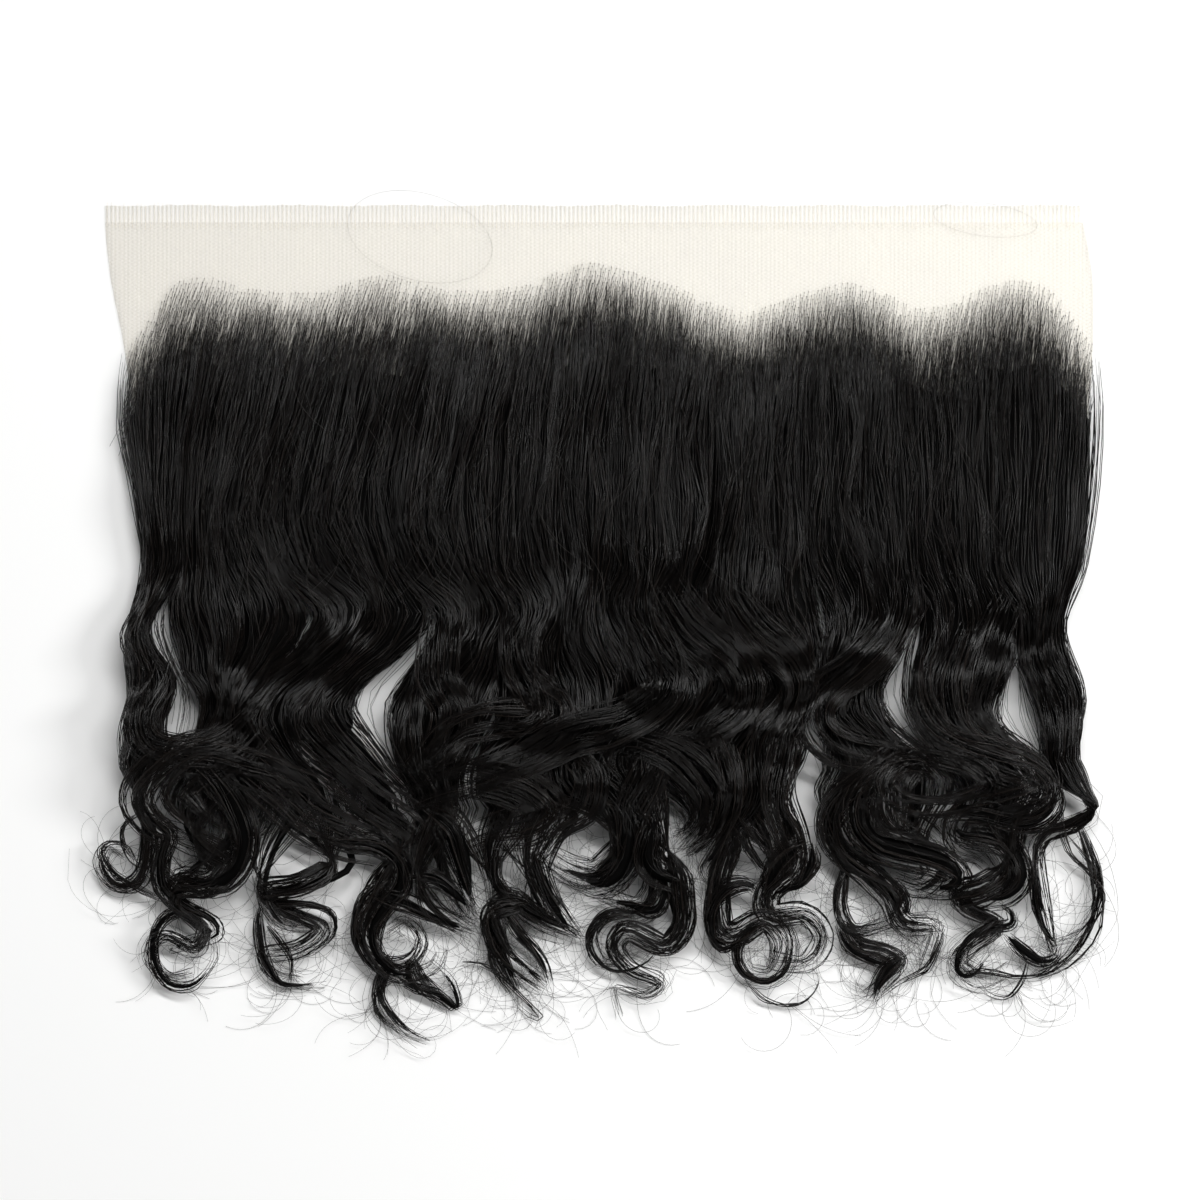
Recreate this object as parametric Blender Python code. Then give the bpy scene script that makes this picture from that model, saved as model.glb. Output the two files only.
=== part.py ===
"""Lace frontal: a sheer lace panel with ten sections of wavy hair that end in curls.

Everything is in metres, +Z up. The frontal lies flat on z = 0 with its bare lace strip
towards +Y and its curl tips towards -Y. The origin is on the lace's flat underside, in the
middle of its width, at the hairline.

Places in the tables are shares: "across" of the hair's half width, positive to +X, and
"down" of the hair's length, positive towards the tips. A "rise" is a share of the height
of the pile, and a curl's "width" is a share of the width of one section at the hairline.
"""

from collections import namedtuple
from math import cos, pi, sin, sqrt

import bmesh
import bpy
from mathutils import Vector

# Driving sizes

HALF_WIDTH = 0.165        # hair, from the middle to one side
HAIR_LENGTH = 0.257       # hairline to the lowest curl tip
BARE_STRIP = 0.027        # bare lace in front of the hairline
LACE_REACH = 0.102        # lace behind the hairline, under the hair
LACE_WALL = 0.001
PILE_HEIGHT = 0.018       # top of the thickest hair above the ground
LOCK_GAP = 0.0007         # between two sections that lie side by side
SEAT_GAP = 0.0003         # between the lace and the hair that lies on it
LOCK_FLATNESS = 0.78      # a curl's thickness as a share of its width
FRAY_DEPTH = 0.0006       # how far the cut front edge of the lace wanders

LACE_COLUMNS = 26         # grid columns across the lace
CURL_SIDES = 6
CURL_STEP = 0.0052        # between the rings of a curl
CURL_FULLNESS = 0.35      # how much wider a lock is where it leaves its section
TIP_WIDTH = 0.28          # a tip's width as a share of its lock's
CURL_LIFT = 0.00007       # each curl of a section lies this much higher off the ground than the last

# Tables

Boundary = namedtuple("Boundary", "root crown neck waist bow sweep end")
Slit = namedtuple("Slit", "boundary top bottom width")
Curl = namedtuple("Curl", "section width route")
Edge = namedtuple("Edge", "down left right")
Pile = namedtuple("Pile", "down height")
Line = namedtuple("Line", "across down")
Lobe = namedtuple("Lobe", "across height")

# How far down each named column of a boundary lies
STATIONS = Boundary(0.0, 0.18, 0.36, 0.45, 0.545, 0.63, 0.70)

# The lines between the sections, left to right, each an "across" for every station
BOUNDARIES = [
    Boundary(-0.992, -1.012, -0.955, -0.992, -0.990, -0.990, -0.970),
    Boundary(-0.860, -0.870, -0.872, -0.925, -0.878, -0.900, -0.925),
    Boundary(-0.680, -0.690, -0.690, -0.680, -0.700, -0.715, -0.725),
    Boundary(-0.440, -0.450, -0.430, -0.385, -0.475, -0.440, -0.410),
    Boundary(-0.220, -0.225, -0.220, -0.200, -0.240, -0.270, -0.265),
    Boundary(0.000, 0.000, -0.010, -0.010, 0.000, -0.020, 0.030),
    Boundary(0.220, 0.215, 0.200, 0.220, 0.240, 0.190, 0.180),
    Boundary(0.420, 0.415, 0.410, 0.420, 0.400, 0.415, 0.420),
    Boundary(0.600, 0.595, 0.600, 0.612, 0.575, 0.655, 0.690),
    Boundary(0.800, 0.790, 0.790, 0.820, 0.810, 0.870, 0.885),
    Boundary(0.992, 1.006, 0.975, 0.932, 0.968, 0.952, 0.980),
]

# Where the ground shows between two sections
SLITS = [
    Slit(1, 0.405, 0.515, 0.045),
    Slit(1, 0.500, 0.640, 0.055),
    Slit(3, 0.430, 0.650, 0.060),
    Slit(7, 0.530, 0.640, 0.040),
    Slit(8, 0.450, 0.620, 0.045),
    Slit(9, 0.490, 0.640, 0.075),
]

# Where each section's flat band ends and its curls go on alone
BAND_ENDS = [0.690, 0.715, 0.715, 0.700, 0.705, 0.665, 0.655, 0.745, 0.710, 0.660]

# The hairline's scallops
HAIRLINE = [
    Line(-0.985, 0.050), Line(-0.865, 0.000), Line(-0.640, 0.020), Line(-0.485, -0.003),
    Line(-0.250, 0.016), Line(-0.020, -0.020), Line(0.275, 0.040), Line(0.480, 0.004),
    Line(0.645, 0.036), Line(0.860, 0.000), Line(0.985, 0.050),
]

# The hair's thickness from the hairline down, as a share of the pile
PILES = [
    Pile(0.00, 0.03), Pile(0.05, 0.10), Pile(0.12, 0.24), Pile(0.25, 0.42),
    Pile(0.40, 0.60), Pile(0.55, 0.82), Pile(0.64, 0.90), Pile(0.72, 0.74),
]

# The top of a section from side to side: three soft locks with grooves between them
LOBES = [
    Lobe(0.00, 0.30), Lobe(0.05, 0.72), Lobe(0.18, 1.00), Lobe(0.33, 0.80), Lobe(0.50, 0.97),
    Lobe(0.67, 0.78), Lobe(0.82, 1.00), Lobe(0.95, 0.70), Lobe(1.00, 0.30),
]

# The lace's sides, from its front edge to its back edge
LACE_SIDES = [
    Edge(-0.105, -1.040, 0.965), Edge(-0.050, -1.035, 0.980), Edge(0.000, -1.025, 0.990),
    Edge(0.080, -1.000, 0.990), Edge(0.200, -0.975, 0.975), Edge(0.397, -0.930, 0.930),
]

# The curls: each route's rows are (across, down, rise) of the lock's middle
CURLS = [
    Curl(0, 0.20, [
        (-0.935, 0.600, 0.38), (-0.962, 0.650, 0.45), (-0.948, 0.700, 0.45), (-0.945, 0.745, 0.36),
        (-0.968, 0.785, 0.30), (-1.015, 0.790, 0.24), (-1.045, 0.762, 0.22), (-1.025, 0.737, 0.30),
        (-0.988, 0.752, 0.45)]),
    Curl(1, 0.30, [
        (-0.800, 0.650, 0.45), (-0.850, 0.700, 0.50), (-0.830, 0.738, 0.45), (-0.785, 0.760, 0.32),
        (-0.820, 0.790, 0.50), (-0.885, 0.790, 0.48), (-0.880, 0.815, 0.26), (-0.828, 0.845, 0.30),
        (-0.850, 0.876, 0.45), (-0.915, 0.858, 0.45), (-0.942, 0.882, 0.28), (-0.905, 0.912, 0.20),
        (-0.850, 0.905, 0.18)]),
    Curl(1, 0.30, [
        (-0.780, 0.690, 0.50), (-0.790, 0.730, 0.46), (-0.850, 0.765, 0.40), (-0.895, 0.780, 0.30)]),
    Curl(2, 0.24, [
        (-0.690, 0.680, 0.45), (-0.620, 0.733, 0.42), (-0.580, 0.765, 0.40), (-0.640, 0.790, 0.58),
        (-0.712, 0.800, 0.40), (-0.655, 0.825, 0.20), (-0.590, 0.846, 0.36), (-0.640, 0.874, 0.50),
        (-0.712, 0.880, 0.36), (-0.685, 0.912, 0.18), (-0.610, 0.920, 0.12)]),
    Curl(2, 0.17, [
        (-0.690, 0.690, 0.30), (-0.722, 0.740, 0.30), (-0.722, 0.795, 0.40), (-0.675, 0.838, 0.56),
        (-0.610, 0.848, 0.52)]),
    Curl(2, 0.24, [
        (-0.560, 0.690, 0.45), (-0.500, 0.713, 0.45), (-0.460, 0.745, 0.40), (-0.478, 0.790, 0.32),
        (-0.505, 0.845, 0.28), (-0.470, 0.890, 0.28), (-0.415, 0.893, 0.32), (-0.385, 0.860, 0.42),
        (-0.420, 0.832, 0.56), (-0.465, 0.850, 0.60)]),
    Curl(2, 0.14, [
        (-0.445, 0.880, 0.20), (-0.475, 0.925, 0.16), (-0.462, 0.955, 0.12), (-0.420, 0.983, 0.10),
        (-0.368, 0.997, 0.09)]),
    Curl(2, 0.18, [
        (-0.410, 0.885, 0.24), (-0.395, 0.915, 0.20), (-0.330, 0.947, 0.12)]),
    Curl(3, 0.34, [
        (-0.335, 0.670, 0.45), (-0.350, 0.725, 0.42), (-0.335, 0.778, 0.36), (-0.290, 0.826, 0.20)]),
    Curl(3, 0.28, [
        (-0.355, 0.700, 0.50), (-0.392, 0.765, 0.60), (-0.366, 0.818, 0.54), (-0.284, 0.852, 0.20)]),
    Curl(4, 0.22, [
        (-0.190, 0.690, 0.40), (-0.232, 0.740, 0.40), (-0.228, 0.790, 0.32), (-0.165, 0.835, 0.34),
        (-0.088, 0.856, 0.20)]),
    Curl(4, 0.24, [
        (-0.130, 0.690, 0.50), (-0.160, 0.750, 0.55), (-0.155, 0.800, 0.50), (-0.118, 0.845, 0.32)]),
    Curl(4, 0.22, [
        (-0.160, 0.812, 0.40), (-0.245, 0.825, 0.50), (-0.225, 0.870, 0.34), (-0.172, 0.905, 0.20),
        (-0.135, 0.925, 0.14)]),
    Curl(4, 0.18, [
        (-0.225, 0.835, 0.30), (-0.235, 0.885, 0.22), (-0.198, 0.930, 0.14)]),
    Curl(4, 0.32, [
        (-0.080, 0.670, 0.45), (0.000, 0.700, 0.48), (0.012, 0.745, 0.46), (-0.035, 0.778, 0.44),
        (-0.095, 0.768, 0.50), (-0.145, 0.745, 0.55)]),
    Curl(5, 0.25, [
        (0.110, 0.640, 0.45), (0.104, 0.700, 0.42), (0.100, 0.755, 0.36), (0.092, 0.800, 0.30),
        (0.050, 0.826, 0.34), (-0.028, 0.806, 0.22)]),
    Curl(5, 0.22, [
        (0.120, 0.650, 0.40), (0.132, 0.730, 0.52), (0.146, 0.790, 0.46), (0.150, 0.840, 0.38),
        (0.110, 0.872, 0.36), (0.035, 0.850, 0.44), (0.012, 0.870, 0.34), (0.045, 0.898, 0.24),
        (0.112, 0.918, 0.22), (0.070, 0.938, 0.32), (0.005, 0.926, 0.22), (0.018, 0.965, 0.12)]),
    Curl(5, 0.30, [
        (0.140, 0.620, 0.50), (0.192, 0.665, 0.50), (0.188, 0.715, 0.46), (0.150, 0.745, 0.44)]),
    Curl(5, 0.12, [
        (0.060, 0.828, 0.30), (-0.005, 0.830, 0.38), (-0.046, 0.858, 0.26), (-0.026, 0.892, 0.16),
        (0.030, 0.897, 0.16)]),
    Curl(6, 0.26, [
        (0.270, 0.610, 0.45), (0.272, 0.670, 0.42), (0.248, 0.725, 0.44), (0.222, 0.775, 0.40),
        (0.218, 0.840, 0.32), (0.250, 0.857, 0.30), (0.310, 0.835, 0.40), (0.355, 0.865, 0.34),
        (0.330, 0.908, 0.24), (0.275, 0.902, 0.26), (0.262, 0.868, 0.40)]),
    Curl(6, 0.22, [
        (0.262, 0.700, 0.55), (0.318, 0.750, 0.60), (0.322, 0.795, 0.45)]),
    Curl(6, 0.24, [
        (0.360, 0.610, 0.45), (0.340, 0.665, 0.42), (0.368, 0.720, 0.44), (0.372, 0.765, 0.44),
        (0.320, 0.800, 0.36), (0.330, 0.828, 0.26), (0.400, 0.826, 0.26), (0.436, 0.860, 0.26),
        (0.400, 0.895, 0.30), (0.330, 0.892, 0.40), (0.322, 0.872, 0.56)]),
    Curl(7, 0.28, [
        (0.520, 0.640, 0.50), (0.470, 0.690, 0.50), (0.470, 0.742, 0.45), (0.530, 0.775, 0.38),
        (0.575, 0.805, 0.34), (0.600, 0.838, 0.28), (0.668, 0.846, 0.22), (0.640, 0.902, 0.12)]),
    Curl(7, 0.28, [
        (0.570, 0.650, 0.45), (0.580, 0.715, 0.52), (0.635, 0.742, 0.50), (0.672, 0.770, 0.44),
        (0.630, 0.796, 0.50), (0.570, 0.780, 0.50)]),
    Curl(7, 0.12, [
        (0.485, 0.750, 0.36), (0.468, 0.815, 0.26), (0.500, 0.850, 0.22), (0.580, 0.838, 0.22)]),
    Curl(7, 0.15, [
        (0.478, 0.840, 0.18), (0.508, 0.868, 0.15), (0.560, 0.876, 0.15), (0.594, 0.890, 0.22),
        (0.570, 0.912, 0.18), (0.530, 0.940, 0.12)]),
    Curl(8, 0.30, [
        (0.760, 0.670, 0.50), (0.742, 0.708, 0.50), (0.790, 0.745, 0.46), (0.796, 0.778, 0.40),
        (0.750, 0.796, 0.50), (0.712, 0.802, 0.38), (0.745, 0.822, 0.22), (0.800, 0.840, 0.30),
        (0.750, 0.866, 0.42), (0.712, 0.892, 0.30), (0.765, 0.914, 0.18), (0.820, 0.896, 0.20)]),
    Curl(9, 0.17, [
        (0.915, 0.625, 0.40), (0.952, 0.664, 0.40), (0.988, 0.689, 0.36), (0.945, 0.710, 0.30),
        (0.888, 0.722, 0.30), (0.866, 0.752, 0.30), (0.876, 0.800, 0.28), (0.890, 0.850, 0.24),
        (0.898, 0.880, 0.24), (0.862, 0.868, 0.42)]),
    Curl(9, 0.11, [
        (0.950, 0.700, 0.34), (0.985, 0.755, 0.24), (0.998, 0.800, 0.18), (0.982, 0.850, 0.15),
        (0.935, 0.892, 0.12), (0.872, 0.908, 0.10)]),
]

SECTION_COUNT = len(BAND_ENDS)
SECTION_WIDTH = 2 * HALF_WIDTH / SECTION_COUNT

# How the bands and curls are drawn, in shares of the hair's length unless said otherwise

BAND_RINGS = 15           # from the hairline to where a band starts to close
RING_CROWDING = 1.15      # above 1, the rings stand closer together near the hairline
END_STRETCH = 0.055       # where a band draws in
END_CLOSING = [0.0, 0.45, 0.75, 0.93]    # each end ring's place along that stretch
END_HEIGHT = 0.45         # a band's height at its very end, as a share of the pile there
HAIRLINE_FADE = 0.15      # the scallops are gone by here
RAMP_START = 0.012        # from the lace's back edge to where the hair starts to sink
RAMP_LENGTH = 0.05        # over which it sinks to the ground
LOBE_SWING = 0.05         # how far the locks on a band's top wander, as a share of its width
LOBE_WAVES = 2.3          # waves of that wander over the hair's length
LOBE_PHASE = 0.37         # of a wave, between one section and the next
CURVE_PIECES = 12         # short lines drawn between two rows of a route
FULL_UNTIL = 0.3          # a curl is wider than its lock up to here, as a share of its route
TAPER_FROM = 0.45         # and draws in to its tip from here


def clear_scene():
    for thing in list(bpy.data.objects):
        bpy.data.objects.remove(thing, do_unlink=True)


def material(name, colour, roughness):
    """A Principled material with one colour and roughness."""
    made = bpy.data.materials.new(name)
    made.use_nodes = True
    shader = made.node_tree.nodes["Principled BSDF"]
    shader.inputs["Base Color"].default_value = (*colour, 1.0)
    shader.inputs["Roughness"].default_value = roughness
    shader.inputs["Metallic"].default_value = 0.0
    return made


def add_object(name, mesh, finish):
    mesh.materials.append(finish)
    thing = bpy.data.objects.new(name, mesh)
    bpy.context.scene.collection.objects.link(thing)
    return thing


def spline(keys, values, at):
    """A smooth value through the rows, with flat ends."""
    if at <= keys[0]:
        return values[0]
    if at >= keys[-1]:
        return values[-1]
    row = max(i for i in range(len(keys) - 1) if keys[i] <= at)

    def slope(i):
        if i == 0 or i == len(keys) - 1:
            return 0.0
        return (values[i + 1] - values[i - 1]) / (keys[i + 1] - keys[i - 1])

    span = keys[row + 1] - keys[row]
    t = (at - keys[row]) / span
    return ((2 * t**3 - 3 * t**2 + 1) * values[row] + (t**3 - 2 * t**2 + t) * span * slope(row)
            + (3 * t**2 - 2 * t**3) * values[row + 1] + (t**3 - t**2) * span * slope(row + 1))


def slit_half(index, down):
    """Half the width of the ground that shows at a boundary, as an across share."""
    widest = 0.0
    for slit in SLITS:
        if slit.boundary == index and slit.top < down < slit.bottom:
            turn = pi * (down - slit.top) / (slit.bottom - slit.top)
            widest = max(widest, slit.width / 2 * sin(turn)**1.5)
    return widest


def side_x(index, down, towards):
    """X of a section's side at a boundary: towards is +1 right of the line, -1 left of it."""
    across = spline(STATIONS, BOUNDARIES[index], down) + towards * slit_half(index, down)
    return across * HALF_WIDTH + towards * LOCK_GAP / 2


def hair_floor(down):
    """Height of what the hair lies on: the lace, then the ground past the lace's back edge."""
    over_lace = LACE_WALL + SEAT_GAP
    leave = LACE_REACH / HAIR_LENGTH + RAMP_START
    t = min(max((down - leave) / RAMP_LENGTH, 0.0), 1.0)
    return over_lace * (1 - t)


def pile_height(down):
    return PILE_HEIGHT * spline([p.down for p in PILES], [p.height for p in PILES], down)


def hairline_down(across):
    return spline([p.across for p in HAIRLINE], [p.down for p in HAIRLINE], across)


def bridge_rings(form, rings, hub):
    """Join closed rings of points into one body, its two ends fanned from the ring's hub point."""
    loops = []
    for ring in rings:
        points = [form.verts.new(point) for point in ring]
        loops.append(points)
    for low, high in zip(loops, loops[1:]):
        for i, point in enumerate(low):
            j = (i + 1) % len(low)
            form.faces.new((point, low[j], high[j], high[i]))
    count = len(loops[0])
    for step in range(1, count - 1):
        i, j = (hub + step) % count, (hub + step + 1) % count
        form.faces.new((loops[0][hub], loops[0][j], loops[0][i]))
        form.faces.new((loops[-1][hub], loops[-1][i], loops[-1][j]))


def finish_mesh(form, name):
    bmesh.ops.recalc_face_normals(form, faces=form.faces)
    mesh = bpy.data.meshes.new(name)
    form.to_mesh(mesh)
    form.free()
    mesh.shade_smooth()
    mesh.set_sharp_from_angle(angle=1.0)
    return mesh


def band_ring(section, down, closing):
    """One closed ring of a section's band, flat below and lobed on top."""
    left = side_x(section, down, 1)
    right = side_x(section + 1, down, -1)
    shrink = sqrt(1 - closing**2)
    middle = (left + right) / 2
    half = (right - left) / 2 * shrink
    low = hair_floor(down)
    top = low + pile_height(down) * (END_HEIGHT + (1 - END_HEIGHT) * shrink)
    swing = LOBE_SWING * sin(2 * pi * (LOBE_WAVES * down + LOBE_PHASE * section))
    ring = []
    for lobe in LOBES:
        inner = 0.0 < lobe.across < 1.0
        u = lobe.across + (swing * sin(pi * lobe.across) if inner else 0.0)
        x = middle + half * (2 * u - 1)
        z = low + (top - low) * lobe.height
        ring.append((x, z))
    ring.append((middle + half, low))
    ring.append((middle, low))
    ring.append((middle - half, low))
    points = []
    for x, z in ring:
        fade = max(0.0, 1 - down / HAIRLINE_FADE)
        at = down + hairline_down(x / HALF_WIDTH) * fade
        points.append(Vector((x, -at * HAIR_LENGTH, z)))
    return points


def band_mesh(section):
    """The flat, waving part of a section, from the hairline to where its curls go on."""
    end = BAND_ENDS[section]
    start = end - END_STRETCH
    rings = []
    for i in range(BAND_RINGS):
        share = (i / BAND_RINGS)**RING_CROWDING
        rings.append(band_ring(section, start * share, 0.0))
    for closing in END_CLOSING:
        rings.append(band_ring(section, start + END_STRETCH * closing, closing))
    form = bmesh.new()
    bridge_rings(form, rings, len(rings[0]) - 2)
    return finish_mesh(form, "band")


def route_points(route):
    """Evenly spaced points on a smooth curve through a curl's rows, with how far along each is."""
    rows = [Vector((a * HALF_WIDTH, -d * HAIR_LENGTH, r * PILE_HEIGHT)) for a, d, r in route]
    rows = [rows[0] * 2 - rows[1]] + rows + [rows[-1] * 2 - rows[-2]]
    fine = []
    for p, q, r, s in zip(rows, rows[1:], rows[2:], rows[3:]):
        for k in range(CURVE_PIECES):
            t = k / CURVE_PIECES
            fine.append(0.5 * (2 * q + (r - p) * t + (2 * p - 5 * q + 4 * r - s) * t**2
                               + (3 * q - p - 3 * r + s) * t**3))
    fine.append(rows[-2])
    lengths = [0.0]
    for a, b in zip(fine, fine[1:]):
        lengths.append(lengths[-1] + (b - a).length)
    count = max(5, round(lengths[-1] / CURL_STEP))
    points = []
    for k in range(count + 1):
        want = lengths[-1] * k / count
        i = max(j for j in range(len(fine) - 1) if lengths[j] <= want)
        t = (want - lengths[i]) / (lengths[i + 1] - lengths[i])
        points.append((fine[i].lerp(fine[i + 1], t), k / count))
    return points


def curl_thickness(along):
    """A lock's width along its route: full, then drawn in to its tip."""
    fullness = CURL_FULLNESS * max(0.0, 1 - along / FULL_UNTIL)**1.5
    taper = (1 - TIP_WIDTH) * max(0.0, (along - TAPER_FROM) / (1 - TAPER_FROM))**1.4
    return 1.0 + fullness - taper


def curl_mesh(curl, lift):
    """One lock swept along its route, never nearer to the ground than its lift."""
    points = route_points(curl.route)
    form = bmesh.new()
    rings = []
    side = None
    for i, (point, along) in enumerate(points):
        before = points[max(i - 1, 0)][0]
        after = points[min(i + 1, len(points) - 1)][0]
        ahead = (after - before).normalized()
        if side is None:
            side = ahead.cross(Vector((0, 0, 1))).normalized()
        side = (side - ahead * side.dot(ahead)).normalized()
        up = side.cross(ahead)
        half = curl.width * SECTION_WIDTH / 2 * curl_thickness(along)
        rise = max(point.z, half * LOCK_FLATNESS + lift)
        middle = Vector((point.x, point.y, rise))
        ring = []
        for k in range(CURL_SIDES):
            turn = 2 * pi * (k + 0.5) / CURL_SIDES
            spot = middle + side * half * cos(turn) + up * half * LOCK_FLATNESS * sin(turn)
            ring.append(spot)
        rings.append(ring)
    bridge_rings(form, rings, 0)
    return finish_mesh(form, "curl")


def fuse(body, extra):
    """Join a hidden lock to a section's body."""
    extra.hide_render = True
    extra.display_type = "WIRE"
    join = body.modifiers.new(extra.name, "BOOLEAN")
    join.operation = "UNION"
    join.solver = "EXACT"
    join.use_self = True
    join.object = extra


def hair_section(section, finish):
    name = f"hair_section_{section + 1:02d}"
    body = add_object(name, band_mesh(section), finish)
    for number, curl in enumerate(c for c in CURLS if c.section == section):
        lift = CURL_LIFT * (number + 1)
        extra = add_object(f"curl_{section + 1:02d}_{number + 1}", curl_mesh(curl, lift), finish)
        fuse(body, extra)
    return body


def lace_panel(finish):
    """The net as one thin wall: a grid whose sides, front edge and back edge follow the tables."""
    columns = LACE_COLUMNS
    downs = [side.down for side in LACE_SIDES]
    form = bmesh.new()
    grid = []
    for row, down in enumerate(downs):
        left = spline(downs, [side.left for side in LACE_SIDES], down) * HALF_WIDTH
        right = spline(downs, [side.right for side in LACE_SIDES], down) * HALF_WIDTH
        line = []
        for column in range(columns + 1):
            x = left + (right - left) * column / columns
            y = lace_y(row, column)
            line.append(form.verts.new((x, y, 0.0)))
        grid.append(line)
    for near, far in zip(grid, grid[1:]):
        for i in range(columns):
            form.faces.new((near[i], near[i + 1], far[i + 1], far[i]))
    bmesh.ops.recalc_face_normals(form, faces=form.faces)
    top = bmesh.ops.extrude_face_region(form, geom=form.faces[:])
    raised = [item for item in top["geom"] if isinstance(item, bmesh.types.BMVert)]
    bmesh.ops.translate(form, vec=(0, 0, LACE_WALL), verts=raised)
    return add_object("lace_panel", finish_mesh(form, "lace_panel"), finish)


def lace_y(row, column):
    """The lace's rows: its cut front edge wanders a little, its back edge is straight."""
    first, last = LACE_SIDES[0].down, LACE_SIDES[-1].down
    down = LACE_SIDES[row].down
    if row == 0:
        return BARE_STRIP + FRAY_DEPTH * (sin(1.9 * column) + 0.6 * sin(4.3 * column + 1.0))
    if down <= 0.0:
        return BARE_STRIP * down / first
    return -LACE_REACH * down / last


def build():
    clear_scene()
    lace = material("lace_net", (0.80, 0.74, 0.66), 0.8)
    hair = material("dark_hair", (0.012, 0.010, 0.009), 0.38)
    lace_panel(lace)
    for section in range(SECTION_COUNT):
        hair_section(section, hair)


build()
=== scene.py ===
import math

import bmesh
import bpy
import mathutils
import numpy as np
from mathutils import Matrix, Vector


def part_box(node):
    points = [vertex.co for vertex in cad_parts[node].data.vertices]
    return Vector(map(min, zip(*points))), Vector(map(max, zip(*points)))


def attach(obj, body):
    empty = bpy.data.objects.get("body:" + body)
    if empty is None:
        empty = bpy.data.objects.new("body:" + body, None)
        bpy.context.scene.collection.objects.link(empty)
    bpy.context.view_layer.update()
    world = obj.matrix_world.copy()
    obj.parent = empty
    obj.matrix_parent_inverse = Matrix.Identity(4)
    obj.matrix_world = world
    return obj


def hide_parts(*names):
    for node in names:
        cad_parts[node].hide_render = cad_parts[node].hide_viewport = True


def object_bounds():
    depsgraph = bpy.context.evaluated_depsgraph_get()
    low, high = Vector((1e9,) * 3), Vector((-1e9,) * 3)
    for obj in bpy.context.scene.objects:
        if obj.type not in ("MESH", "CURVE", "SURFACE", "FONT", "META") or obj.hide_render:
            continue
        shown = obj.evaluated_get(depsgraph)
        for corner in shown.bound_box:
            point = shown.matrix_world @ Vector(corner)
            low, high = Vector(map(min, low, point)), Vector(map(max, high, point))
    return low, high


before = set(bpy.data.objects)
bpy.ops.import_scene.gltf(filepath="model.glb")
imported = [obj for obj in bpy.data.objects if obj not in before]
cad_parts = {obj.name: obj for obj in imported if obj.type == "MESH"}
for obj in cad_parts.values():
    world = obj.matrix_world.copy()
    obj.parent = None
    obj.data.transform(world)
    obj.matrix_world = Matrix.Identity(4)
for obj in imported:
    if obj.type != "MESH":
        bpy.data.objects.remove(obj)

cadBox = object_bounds()

# The frontal's own sizes in metres. The tables below are shares of them:
# "across" is a share of the hair's half width, "down" a share of its length from the hairline,
# "rise" a share of the pile's height, and a lock's width a share of one section's width.
frontal = {
    "halfWidth": 0.165,
    "hairLength": 0.257,
    "pileHeight": 0.018,
    "pileCap": 0.019,           # what stands over this is pressed down
    "capPress": 0.55,
    "laceTop": 0.0010,
    "seatGap": 0.0003,
    "laceReach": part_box("lace_panel")[0][1] * -1,
    "laceFront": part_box("lace_panel")[1][1],
    "sectionCount": 10,
}
sectionWidth = 2 * frontal["halfWidth"] / frontal["sectionCount"]


def inRows(numbers, size):      # a route's thousandths as rows of shares
    return np.array(numbers).reshape(-1, size) / 1000


stations = [0.0, 0.18, 0.36, 0.45, 0.545, 0.63, 0.70]      # down, for the columns of boundaries

boundaries = [
    [-0.992, -1.012, -0.955, -0.992, -0.990, -0.990, -0.970],
    [-0.860, -0.870, -0.872, -0.925, -0.860, -0.888, -0.925],
    [-0.680, -0.690, -0.690, -0.680, -0.700, -0.715, -0.725],
    [-0.440, -0.450, -0.430, -0.385, -0.475, -0.440, -0.410],
    [-0.220, -0.225, -0.220, -0.200, -0.240, -0.270, -0.265],
    [0.000, 0.000, -0.010, -0.010, 0.000, -0.020, 0.030],
    [0.220, 0.215, 0.200, 0.220, 0.240, 0.190, 0.180],
    [0.420, 0.415, 0.410, 0.420, 0.400, 0.415, 0.420],
    [0.600, 0.595, 0.600, 0.612, 0.590, 0.652, 0.690],
    [0.800, 0.790, 0.790, 0.820, 0.832, 0.864, 0.885],
    [0.992, 1.006, 0.975, 0.932, 0.968, 0.952, 0.980],
]

# boundary, top, bottom, width of the ground that shows between two sections
slits = [
    (1, 0.415, 0.512, 0.048), (1, 0.508, 0.632, 0.058), (3, 0.430, 0.640, 0.056),
    (7, 0.535, 0.630, 0.040), (8, 0.440, 0.622, 0.054), (9, 0.495, 0.630, 0.075),
]

hairline = {
    "across": [-0.985, -0.865, -0.640, -0.485, -0.250, -0.020, 0.275, 0.480, 0.645, 0.860, 0.985],
    "down": [0.050, 0.000, 0.020, -0.003, 0.016, -0.020, 0.040, 0.004, 0.036, 0.000, 0.050],
}

pile = {
    "down": [0.00, 0.05, 0.10, 0.20, 0.30, 0.40, 0.55, 0.64, 0.72],
    "height": [0.08, 0.18, 0.27, 0.34, 0.51, 0.53, 0.80, 0.90, 0.74],
}

# Where the waves crest, and how high they stand there in metres
waves = {
    "down": [0.05, 0.33, 0.49, 0.58, 0.67],
    "crest": [-1.0, 0.0, 1.0, 2.0, 3.0],
    "heightDown": [0.0, 0.12, 0.28, 0.43, 0.55, 0.72],
    "height": [0.0, 0.0006, 0.0019, 0.0023, 0.0019, 0.0016],
}

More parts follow.
